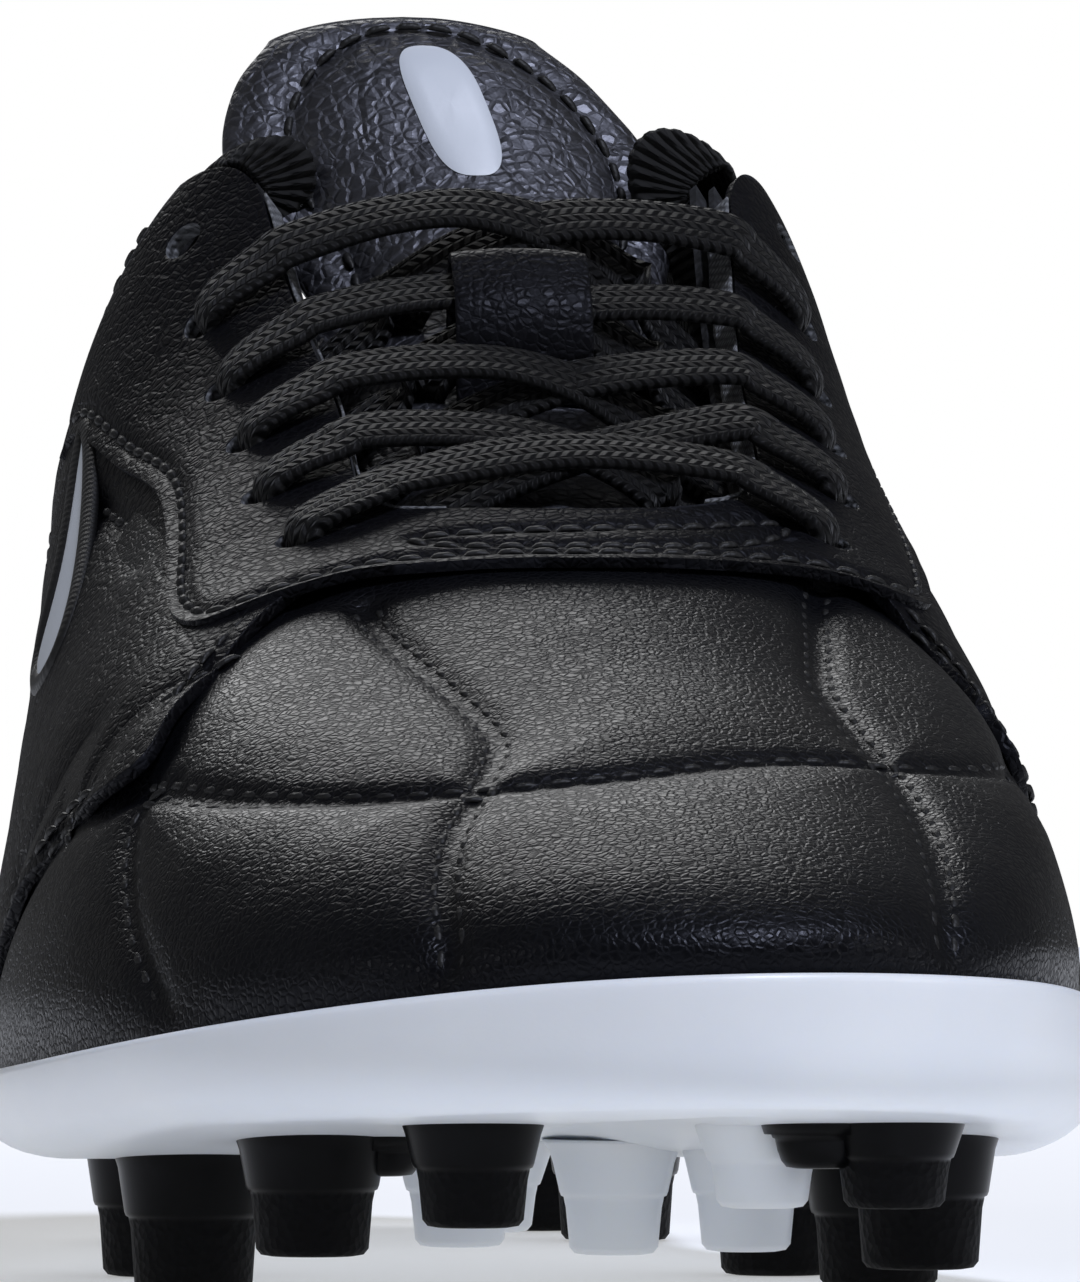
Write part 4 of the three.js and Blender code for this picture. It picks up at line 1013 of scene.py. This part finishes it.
def tonguePad(section, across, away):
    # how far the padding stands above the flat face: high under the laces, sunk along the stitched arch
    plump = 1.2 + 2.6 * smoothStep(section, 5.6, 3.6) * smoothStep(section, 0.2, 1.5) * (1 - across ** 4)
    return plump * (1 - np.exp(-(away / 5) ** 2)) - 0.7 * np.exp(-(away / 1.3) ** 2)


def makeTongue():
    # rings round the padded tongue: the face bulges between its stitched arch and its bound edge
    section = np.linspace(0, len(tongueSections) - 1, 150)
    angle = np.linspace(0, 2 * math.pi, 96, endpoint=False)
    section, angle = np.meshgrid(section, angle, indexing="ij")
    across = np.sign(np.cos(angle)) * np.abs(np.cos(angle)) ** 0.55
    side = np.sign(np.sin(angle)) * np.abs(np.sin(angle)) ** 0.7
    taper = np.minimum(1, (1 - section / (len(tongueSections) - 0.97)) * 6) ** 0.5
    half = tongue["wall"] / 2 * np.clip(taper, 0.25, 1)
    place = tonguePoint(section, across, 0 * across)
    arch = tonguePoint(*catmull(archSeam, 200).T, np.zeros(200))
    away = nearest(place, arch)
    pad = tonguePad(section, across, away)
    depth = tongue["wall"] / 2 - side * half - np.where(side > 0, pad * np.clip(side, 0, 1), 0) * taper
    depth += 0.18 * softNoise(place, 11, 21)
    points = tonguePoint(section, across, depth)
    piece = makeTube("tongue", points, "tongueLeather")
    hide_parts("tongue_lower", "tongue_flap")
    return piece


def tongueFace(section, across, lift):
    # a point just above the padded face
    place = tonguePoint(section, across, 0 * np.asarray(across, float))
    arch = tonguePoint(*catmull(archSeam, 200).T, np.zeros(200))
    away = nearest(place, arch)
    pad = tonguePad(section, across, away)
    return tonguePoint(section, across, -pad - lift)


tonguePiece = makeTongue()
archTrack = catmull(archSeam, 300)
archPath = tongueFace(archTrack[:, 0], archTrack[:, 1], 0.1)
tongueStitches = makeStitching("tongue_stitching", [(archPath, tongueAt(*archTrack.T)[1])], None)
print("tongue is made")


# ---- mark on the tongue: a plain rounded bar with a ring
def makeTongueMark():
    angle = np.linspace(0, 2 * math.pi, 72, endpoint=False)
    radius = np.array([0.0, 0.5, 0.86, 1.0])
    angle, radius = np.meshgrid(angle, radius, indexing="xy")
    across = 0.16 * radius * np.sign(np.cos(angle)) * np.abs(np.cos(angle)) ** 0.7
    section = 7.62 + 0.98 * radius * np.sign(np.sin(angle)) * np.abs(np.sin(angle)) ** 0.55
    lift = np.where(radius > 0.95, 0.05, 0.3)
    points = tongueFace(section, across, lift)
    faces = gridFaces(4, 72, closedColumns=True)
    piece = makeObject("tongue_mark", points, faces, "mark")
    settle(piece, flap, "mark", "tongue_label")
    return piece


makeTongueMark()

# ---- lace
lace = {"width": 7.6, "thick": 1.35, "pinch": 0.62, "hump": 2.0, "humpStep": 1.5, "over": 3.25, "under": -5.95, "tailInset": 19.0}


def throatPoint(u, beyond, offset):
    edge = facePoint(u, 1.0)
    inwards = edge - facePoint(u, 0.93)
    inwards /= np.linalg.norm(inwards)
    return edge + inwards * beyond + faceNormal(u, 1.0) * offset


def laceKey(point, face, bunch=0.0):
    face = np.asarray(face, float)
    return np.concatenate([point, face / np.linalg.norm(face), [bunch]])


def at(u, v, offset):
    return facePoint(u, v) + faceNormal(u, v) * offset


def eyeletFrame(side, index):
    u = eyeletAt[side](index)
    v = float(vBelowTop(u, eyelets["inset"])[0])
    inside = facePoint(u, 1.0) - facePoint(u, v)
    return u, v, faceNormal(u, v), inside / np.linalg.norm(inside)


def overEyelet(side, index):
    # over the throat edge, across the facing and down into the eyelet
    u, v, face, inside = eyeletFrame(side, index)
    nearEdge = float(vBelowTop(u, 1.0)[0])
    nearHole = float(vBelowTop(u, eyelets["inset"] - 3.5)[0])
    over = lace["over"]
    return [
        laceKey(throatPoint(u, 2.2, over + 0.5), faceNormal(u, nearEdge)),
        laceKey(at(u, nearEdge, over + 0.4), faceNormal(u, nearEdge)),
        laceKey(at(u, nearHole, over + 0.1), face, 0.2),
        laceKey(at(u, v, over - 0.9) + inside * 0.5, face - inside, 0.9),
        laceKey(at(u, v, -1.5), -inside, 1.0),
    ]


def underFacing(side, index):
    u, v, face, inside = eyeletFrame(side, index)
    under = lace["under"]
    middle = eyeletAt[side](index + 0.2)
    out = eyeletAt[side](index + 0.42)
    near = float(vBelowTop(u, eyelets["inset"] - 4)[0])
    return [
        laceKey(at(u, v, under + 0.4) + inside * 0.3, -face - inside, 1.0),
        laceKey(at(middle, near, under - 0.2), -face, 0.3),
        laceKey(throatPoint(out, 1.8, under + 0.4), -faceNormal(out, 0.97)),
    ]


def crownAt(y):
    order = tongueSections[:, 0]
    return np.interp(y, order, tongueSections[:, 2]) - tongue["sink"]


def crossingMiddle(index):
    return (facePoint(eyeletAt["lateral"](index + 0.66), 1.0)
            + facePoint(eyeletAt["medial"](index + 0.66), 1.0)) / 2


def crownNormal(y):
    return np.array([0, crownAt(y - 4) - crownAt(y + 4), 8.0])


def crossing(outOf, into, upper, row):
    # the span over the tongue: it stays high from the throat edge that it came over, then dips under the other
    rise = lace["hump"] + lace["humpStep"] * row + (0.9 if upper else -0.7)
    keys = []
    for share in (0.25, 0.5, 0.75):
        point = outOf[:3] + (into[:3] - outOf[:3]) * share
        face = crownNormal(point[1]) / 10
        lifted = point + np.array([0, 0.0, 1.0]) * rise * math.sin(math.pi * share ** 0.85)
        keys.append(laceKey(lifted, face))
    return keys


def tailKey(side, index, inset, offset):
    u = eyeletAt[side](index)
    v = float(vBelowTop(u, inset)[0])
    return laceKey(at(u, v, offset), faceNormal(u, v))


def tuckedTail(side):
    last = eyelets["laced"] - 1
    u, v, face, inside = eyeletFrame(side, last)
    under = lace["under"]
    steps = [(0.25, eyelets["inset"] + 5, -0.4), (0.8, lace["tailInset"], -0.6),
             (1.6, lace["tailInset"], -0.6), (2.4, lace["tailInset"], -0.6)]
    return [laceKey(at(u, v, under + 0.4) - inside * 0.3, face + inside, 1.0),
            *[tailKey(side, last - back, inset, under + drop) for back, inset, drop in steps]]


def laceHalf(firstSide):
    keys = []
    side = firstSide
    for index in range(eyelets["laced"]):
        if index:
            upper = (index % 2 == 1) == (firstSide == "medial")
            into = overEyelet(side, index)
            keys += crossing(keys[-1], into[0], upper, index)
        keys += overEyelet(side, index)
        if index == eyelets["laced"] - 1:
            break
        keys += underFacing(side, index)
        side = "medial" if side == "lateral" else "lateral"
    return keys + tuckedTail(side)


def barKeys():
    # the straight bar between the first eyelets, a little bowed over the tongue
    left = overEyelet("lateral", 0)[0]
    right = overEyelet("medial", 0)[0]
    keys = []
    for share in (0.25, 0.5, 0.75):
        point = left[:3] + (right[:3] - left[:3]) * share
        keys.append(laceKey(point + [0, 0, 2.2 * math.sin(math.pi * share)], crownNormal(point[1])))
    return keys


def makeLace():
    # a flat section with round edges carried along the laced route, bunched where it passes an eyelet
    keys = np.array(laceHalf("lateral")[::-1] + barKeys() + laceHalf("medial"))
    count = 1500
    track = catmull(keys, count)
    place, face, bunch = track[:, :3], track[:, 3:6], np.clip(track[:, 6], 0, 1)
    along = np.gradient(place, axis=0)
    along /= np.linalg.norm(along, axis=1, keepdims=True)
    face = face - along * (face * along).sum(1, keepdims=True)
    face /= np.linalg.norm(face, axis=1, keepdims=True)
    sideways = np.cross(along, face)
    walked = np.concatenate([[0], np.linalg.norm(np.diff(place, axis=0), axis=1).cumsum()])
    wobble = 0.25 * np.sin(walked / 9.0) + 0.15 * np.sin(walked / 4.1 + 1)
    half = (lace["width"] / 2 + 0.25 * np.sin(walked / 13.0)) * (1 - (1 - lace["pinch"]) * bunch)
    thick = lace["thick"] / 2 * (1 + 0.45 * bunch)
    angle = np.linspace(0, 2 * math.pi, 20, endpoint=False)
    flat = np.sign(np.cos(angle)) * np.abs(np.cos(angle)) ** 0.6
    deep = np.sign(np.sin(angle)) * np.abs(np.sin(angle)) ** 0.6
    cup = 0.35 * bunch[:, None] * flat[None, :] ** 2
    rings = (place[:, None] + (half[:, None] * flat)[..., None] * sideways[:, None]
             + ((thick[:, None] * deep) - cup + wobble[:, None] * 0.3 * flat)[..., None] * face[:, None])
    uv = np.stack(np.broadcast_arrays(walked[:, None], lace["width"] / 2 * flat[None, :] + 7.0), -1)
    piece = makeTube("lace_braid", rings, "lace", uv)
    settle(piece, root, "lace", "lace")
    print("lace runs for", round(float(walked[-1])), "mm")
    return piece


makeLace()


# ---- lace keeper
# y and z of the loop's outer face, from its front foot over the laces to its back foot
keeper = {"path": [(1.4, 85.5), (2.0, 89.5), (2.3, 93.2), (3.6, 96.4), (6.4, 99.2), (9.2, 101.3),
                   (11.3, 101.3), (12.7, 99.4), (13.4, 96.0), (13.6, 91.5)],
          "middle": 4.5, "width": 13.8, "wall": 1.1}


def makeKeeper():
    # the path carried across the tongue, its middle standing a little higher than its sides
    track = catmull(keeper["path"], 60)
    across = np.linspace(-1, 1, 18)
    points = np.zeros((60, 18, 3))
    points[..., 0] = keeper["middle"] + across * keeper["width"] / 2
    points[..., 1] = track[:, :1] + 0.25 * across ** 2
    points[..., 2] = track[:, 1:] - 0.5 * across ** 2
    piece = makeSheet("lace_keeper_loop", points[:, ::-1], "overlay", keeper["wall"], edge=0.25)
    settle(piece, root, "overlay", "lace_keeper")


makeKeeper()
print("lace and keeper are made")

# ---- collar
collar = {"end": 4.14, "roll": 4.6, "outer": -0.2, "foam": 9.6, "plain": 4.2, "foamDrop": 27.0,
          "leatherDrop": 3.0, "endRise": 2.8, "rib": 1.2}


def makeCollarLining():
    # from behind the leather's top edge over a padded roll and down the inside to the sockliner
    u = np.linspace(-collar["end"], collar["end"], 300)
    turn = np.linspace(0, math.pi, 50)
    roll = smoothStep(np.abs(u), collar["end"] + 0.02, collar["end"] - 0.16)
    wide = (collar["foam"] + collar["outer"]) / 2 * (0.45 + 0.55 * roll)
    normal = faceNormal(u, np.full_like(u, 0.97))
    top = facePoint(u, 1.0)
    upward = top - facePoint(u, 0.96)
    upward /= np.linalg.norm(upward, axis=1, keepdims=True)
    sunk = collar["leatherDrop"] * 0.4
    centre = top + normal * (collar["outer"] - wide)[:, None] - upward * sunk
    tall = collar["roll"] + collar["endRise"] * smoothStep(np.abs(u), 2.9, 3.7)
    arc = (centre[:, None] + normal[:, None] * (wide[:, None] * np.cos(turn))[..., None]
           + upward[:, None] * ((0.6 + tall * roll)[:, None] * np.sin(turn))[..., None])
    down = np.linspace(0, 1, 70)[1:]
    drop = vBelowTop(u, collar["foamDrop"] + 12)
    v = 1 - down[None, :] * 1.5 + 0 * u[:, None]
    padded = smoothStep(v, drop[:, None] - 0.05, drop[:, None] + 0.2)
    depth = -(collar["plain"] + (collar["foam"] - collar["plain"]) * padded * (0.45 + 0.55 * roll[:, None]))
    depth -= 0.5 * np.sin(math.pi * np.clip(down * 2.2, 0, 1))[None, :] * roll[:, None]
    inner = skinPoint(u[:, None], v, depth)
    points = np.concatenate([arc, inner], 1)
    along = np.concatenate([[0], np.linalg.norm(np.diff(top, axis=0), axis=1).cumsum()])
    step = np.linalg.norm(np.diff(points, axis=1), axis=-1).mean(0)
    deep = np.concatenate([[0], step.cumsum()])
    uv = np.stack(np.broadcast_arrays(along[:, None], deep[None, :]), -1)
    onRoll = smoothStep(deep, deep[len(turn) - 1] + 0.5, deep[len(turn) - 1] - 1.5)
    rib = 0.24 * (np.abs(np.sin(math.pi * deep / collar["rib"])) * onRoll)[None, :, None]
    lift = np.concatenate([normal[:, None] * np.cos(turn)[None, :, None]
                           + upward[:, None] * np.sin(turn)[None, :, None],
                           -faceNormal(u[:, None], v)], 1)
    piece = makeSheet("collar_lining_knit", (points + lift * rib)[::-1], "knit", 0.0, uv[::-1])
    wall = piece.modifiers.new("wall", "SOLIDIFY")
    wall.thickness = 0.7 * millimetre
    wall.offset = -1
    applyModifiers(piece)
    settle(piece, root, "knit", "collar_lining")


makeCollarLining()
print("collar is made")


# ---- heel strip and side patches
def makeHeelStrip():
    v = np.linspace(0.03, 0.985, 90)[None, :]
    wide = 0.5 - 0.16 * smoothStep(v, 0.35, 0.85) + 0.1 * smoothStep(v, 0.9, 1.0)
    u = np.linspace(-1, 1, 60)[:, None] * wide
    height = 1.0 + 1.0 * smoothStep(v, 0.03, 0.14) + 0 * u
    piece = makeSheet("heel_strip_shell", skinPoint(u, v + 0 * u, height), "overlay", 1.0, edge=0.25)
    settle(piece, root, "overlay", "heel_strip")
    runs = []
    for side in (-1, 1):
        line = np.linspace(0.08, 0.96, 200)
        place = np.interp(line, v[0], wide[0]) * side * 0.84
        runs.append((skinPoint(place, line, np.full(200, 2.05)), faceNormal(place, line)))
    makeStitching("heel_stitching", runs)


patch = {"low": 0.42, "high": 0.64, "wide": 0.27, "lean": 0.5, "bow": 0.34, "middle": 4.8}


def patchEdge(side, along, across):
    # a crescent: its middle line bows and leans, its width closes to a round at both ends
    turn = 1 if side == "lateral" else -1
    middle = patch["middle"] if side == "lateral" else stationCount - patch["middle"]
    v = patch["low"] + (patch["high"] - patch["low"]) * along + 0 * across
    bow = patch["bow"] * np.sin(math.pi * along) - patch["lean"] * (along - 0.5)
    wide = patch["wide"] * np.sqrt(np.clip(1 - np.abs(2 * along - 1) ** 2.6, 0, 1))
    return middle + turn * (bow + across * wide), v


def makeSidePatch(side):
    along = np.linspace(0, 1, 90)[:, None]
    across = np.linspace(-1, 1, 26)[None, :]
    if side == "medial":
        across = -across
    u, v = patchEdge(side, along, across)
    height = 1.75 - 0.5 * np.abs(across) ** 8 + 0 * along
    piece = makeSheet("side_patch_" + side + "_band", skinPoint(u, v, height)[:, ::-1], "mark", 0.8)
    settle(piece, root, "mark", "side_patch_" + side)
    line = np.linspace(0, 1, 120)
    up = patchEdge(side, line, np.full(120, 1.12))
    down = patchEdge(side, line[::-1], np.full(120, -1.12))
    loopU, loopV = np.concatenate([up[0], down[0][1:-1]]), np.concatenate([up[1], down[1][1:-1]])
    path = skinPoint(loopU, loopV, np.full(len(loopU), 1.35))
    border = makeCording("side_patch_" + side + "_border", path, faceNormal(loopU, loopV), 1.25, 0.8)
    settle(border, root, "overlay")


def makeCording(name, path, normal, half, high):
    # a closed round cord of satin stitches laid along a path
    path = 0.25 * np.roll(path, 1, 0) + 0.5 * path + 0.25 * np.roll(path, -1, 0)
    along = np.roll(path, -1, 0) - np.roll(path, 1, 0)
    along /= np.linalg.norm(along, axis=1, keepdims=True)
    sideways = np.cross(along, normal)
    sideways /= np.linalg.norm(sideways, axis=1, keepdims=True)
    angle = np.linspace(0, 2 * math.pi, 14, endpoint=False)
    rings = (path[:, None] + sideways[:, None] * (half * np.cos(angle))[None, :, None]
             + normal[:, None] * (high * np.sin(angle))[None, :, None])
    walked = np.linalg.norm(path - np.roll(path, 1, 0), axis=1).cumsum()
    uv = np.stack(np.broadcast_arrays(walked[:, None] / 0.9, np.cos(angle)[None, :] * 0.3), -1)
    faces = gridFaces(len(path), 14, closedRows=True, closedColumns=True)
    return makeObject(name, rings, faces, "thread", uv)


makeHeelStrip()
for side in ("lateral", "medial"):
    makeSidePatch(side)
print("strip and patches are made")

# ---- outsole
# height of the plate's underside along the boot, from toe to heel
plateLine = np.array([[-140, 19], [-118, 17.5], [-98, 16.4], [-78, 14.4], [-52, 12.3],
                      [-20, 12], [10, 13.4], [40, 14], [70, 12.6], [100, 12], [140, 12.6]], float)
plate = {"rimGap": 0.12, "rim": 1.6, "bed": 5.0}


def underside(y):
    return np.interp(y, plateLine[:, 0], plateLine[:, 1])


def spineAt(u):
    # the middle of the sole between the two sides, drawn in from toe and heel
    mirrored = np.minimum(u, stationCount - u)
    middle = (stationAt(mirrored)[..., :3] + stationAt(stationCount - mirrored)[..., :3]) / 2
    middle[..., 1] *= 0.84
    return middle


def makePlate():
    # rings from the spine underneath, round the rolled rim, and back over the top to the spine
    u = np.linspace(0, stationCount, 360, endpoint=False)
    foot = stationAt(u)[:, :3]
    out = outwardAt(u)
    spine = spineAt(u)
    inward = (spine - foot) * [1, 1, 0]
    reach = np.linalg.norm(inward, axis=1)
    edge = plate["rimGap"] + plate["rim"]
    under = underside(foot[:, 1])
    rimHigh = foot[:, 2]
    rows = []
    for share in np.linspace(1, 0.12, 14):
        point = foot + inward * share
        rise = underside(point[:, 1]) + 1.6 * smoothStep(share, 0.75, 1.0) * smoothStep(reach, 15, 30)
        point[:, 2] = rise
        rows.append(point)
    start = rows[-1]
    rolled = np.linspace(0, 1, 12)[1:]
    outside = foot + out * edge
    for share in rolled:
        angle = share * math.pi / 2
        point = start + (outside - start) * math.sin(angle)
        lift = (1 - math.cos(angle)) ** 1.15
        point[:, 2] = start[:, 2] + (np.maximum(under + 6.5, rimHigh - 6.5) - start[:, 2]) * lift
        rows.append(point)
    low = rows[-1][:, 2]
    for share in (0.35, 0.7, 0.92):
        point = outside.copy()
        point[:, 2] = low + (rimHigh - 0.4 - low) * share
        rows.append(point)
    for inset, lift in ((0.1, -0.25), (0.45, 0.0), (1.0, 0.02), (1.4, -0.2)):
        point = foot + out * (edge - inset)
        point[:, 2] = rimHigh + lift
        rows.append(point)
    for share in (0.3, 1.0):
        point = foot + out * plate["rimGap"]
        point[:, 2] = rimHigh - plate["bed"] * share
        rows.append(point)
    for share in (0.2, 0.6, 1.0):
        point = foot + inward * share
        point[:, 2] = rimHigh - plate["bed"] + (spine[:, 2] - rimHigh - 0.5) * share
        rows.append(point)
    points = np.stack(rows, 1)
    piece = makeObject("outsole_plate_moulding", points, gridFaces(*points.shape[:2], closedRows=True), "plate")
    import bmesh
    work = bmesh.new()
    work.from_mesh(piece.data)
    bmesh.ops.remove_doubles(work, verts=work.verts, dist=0.00002)
    bmesh.ops.recalc_face_normals(work, faces=work.faces)
    work.to_mesh(piece.data)
    work.free()
    settle(piece, root, "plate", "outsole_plate")
    return piece


makePlate()

studs = {
    "stud_lateral_1": (-10, -100, 7.4, 4.6), "stud_lateral_2": (-23, -81, 4.2, 5.2),
    "stud_lateral_3": (-32, -52, 0, 5.6), "stud_lateral_4": (-33, -17, 0, 5.6),
    "stud_medial_1": (28, -100, 9, 4.6), "stud_medial_2": (33, -80, 2.8, 5.4),
    "stud_medial_3": (33, -50, 0, 5.6), "stud_medial_4": (27, -20, 0, 5.6),
    "stud_heel_lateral_1": (-23, 76, 0, 5.8), "stud_heel_lateral_2": (-17, 109, 0, 5.8),
    "stud_heel_medial_1": (21, 76, 0, 5.8), "stud_heel_medial_2": (16, 109, 0, 5.8),
}
centreStuds = [(-8, -64, 4.4), (7, -58, 3.4), (19, -62, 3.8), (17, -92, 8.8), (-2, -28, 4.5)]


def studRings(x, y, tip, radius):
    # a turned profile: flat tip, rough lower half, step, polished cone and a flared root in the plate
    top = float(underside(y)) + 1.4
    step = tip + (top - tip) * 0.5
    profile = np.array([[0.02, tip], [radius - 1.4, tip], [radius - 0.5, tip + 0.15], [radius - 0.05, tip + 0.7],
                        [radius + 0.3, step - 1.0], [radius + 0.45, step - 0.3], [radius + 0.5, step],
                        [radius + 0.75, step + 0.12], [radius + 0.9, step + 0.5],
                        [radius + 1.5, top - 2.2], [radius + 1.9, top - 1.0], [radius + 2.3, top - 0.4],
                        [radius + 2.6, top]])
    angle = np.linspace(0, 2 * math.pi, 48, endpoint=False)
    ring = np.stack([np.cos(angle), np.sin(angle), 0 * angle], -1)
    rings = profile[:, 0][:, None, None] * ring + np.array([x + boxShift, y, 0])
    rings[..., 2] = profile[:, 1][:, None]
    rough = (profile[:, 1] < step - 0.1).astype(float)
    return rings, np.repeat(rough, len(angle))


# low lobes beside two of the forefoot studs: stud, offset, radius, depth
studLobes = [("stud_medial_1", (-6.6, 0.5), 3.6, 3.9), ("stud_lateral_2", (6.3, 0.5), 3.4, 3.2)]


def makeStudLobes():
    for name, shift, radius, depth in studLobes:
        x, y = studs[name][0] + shift[0], studs[name][1] + shift[1]
        rings, rough = studRings(x, y, float(underside(y)) - depth, radius)
        piece = makeTube(name + "_lobe", rings, "stud", extra=0 * rough)
        settle(piece, root, "stud")


def makeStuds():
    for name, (x, y, tip, radius) in studs.items():
        rings, rough = studRings(x, y, tip, radius)
        piece = makeTube(name + "_cone", rings, "stud", extra=rough)
        settle(piece, root, "stud", name)
    for index, (x, y, tip) in enumerate(centreStuds):
        rings, rough = studRings(x, y, tip, 4.2)
        piece = makeTube("centre_stud_%d" % (index + 1), rings, "plate", extra=rough)
        settle(piece, root, "plate")


makeStuds()
makeStudLobes()
print("outsole and studs are made")

# ---- sockliner
liner = {"inset": 8.2, "lift": 2.85, "wall": 3.5, "split": -6.8}


def makeSockliner():
    # the insole pad: rings in from its edge, slightly cupped, over the insole board
    u = np.linspace(0, stationCount, 240, endpoint=False)
    foot = stationAt(u)[:, :3]
    spine = spineAt(u)
    inward = (spine - foot) * [1, 1, 0]
    rows = []
    def ring(inset, share, lift):
        point = foot - outwardAt(u) * inset + inward * share
        away = np.clip(share + inset / np.linalg.norm(inward, axis=1), 0, 1)
        point[:, 2] = foot[:, 2] - plate["bed"] + (spine[:, 2] - foot[:, 2] - 0.5) * away + lift
        return point
    edge = liner["inset"] - 0.8
    for share in (0.55, 0.3, 0.1):
        rows.append(ring(edge, share, liner["lift"]))
    for inset, lift in ((0.4, 0.0), (0.0, 0.5), (-0.1, 1.8), (0.0, 3.0), (0.4, 3.7), (1.2, 3.75)):
        rows.append(ring(edge + inset, 0, liner["lift"] + lift))
    for share in (0.1, 0.3, 0.55):
        rows.append(ring(edge, share, liner["lift"] + liner["wall"] - 0.3 * share))
    points = np.stack(rows, 1)
    middle = points[:, [0, -1]].mean(0)
    piece = makeObject("sockliner_pad", points, gridFaces(*points.shape[:2], closedRows=True), "sockliner")
    import bmesh
    work = bmesh.new()
    work.from_mesh(piece.data)
    work.verts.ensure_lookup_table()
    count, deep = points.shape[:2]
    bottom = [work.verts[k * deep] for k in range(count)]
    top = [work.verts[k * deep + deep - 1] for k in range(count)]
    bridgeAcross(work, bottom)
    bridgeAcross(work, top)
    bmesh.ops.recalc_face_normals(work, faces=work.faces)
    work.to_mesh(piece.data)
    work.free()
    for face in piece.data.polygons:
        face.use_smooth = True
    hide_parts("sockliner_forepart", "sockliner_heel")
    return piece


def bridgeAcross(work, loop):
    # fills a closed ring of the sole with rungs from side to side
    half = len(loop) // 2
    for k in range(half):
        corners = [loop[k], loop[k + 1], loop[(-k - 1) % len(loop)], loop[-k]]
        kept = list(dict.fromkeys(corners))
        if len(kept) > 2:
            work.faces.new(kept)


soleLiner = makeSockliner()
print("sockliner is made")

# ---- pieces of the frame that keep their shape
kept = {"insole_board": "board", "toe_puff": "stiffener", "heel_counter": "stiffener",
        "collar_foam": "foam", "eyelet_stay_lateral": "lining", "eyelet_stay_medial": "lining",
        "vamp_lining": "lining", "aglet_lateral": "aglet", "aglet_medial": "aglet"}
for node, finish in kept.items():
    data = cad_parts[node].data
    data.materials.clear()
    data.materials.append(finishes[finish])

# ---- soft pieces that cross a joint
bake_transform(tonguePiece)
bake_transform(tongueStitches)
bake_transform(soleLiner)


def makeFloor():
    mesh = bpy.data.meshes.new("floor")
    reach = 4000.0
    corners = np.array([[-reach, -reach, -0.05], [reach, -reach, -0.05], [reach, reach, -0.05],
                        [-reach, reach, -0.05]])
    mesh.from_pydata((corners * millimetre).tolist(), [], [(0, 1, 2, 3)])
    mesh.materials.append(paleFloor())
    floor = bpy.data.objects.new("floor", mesh)
    bpy.context.collection.objects.link(floor)


makeFloor()
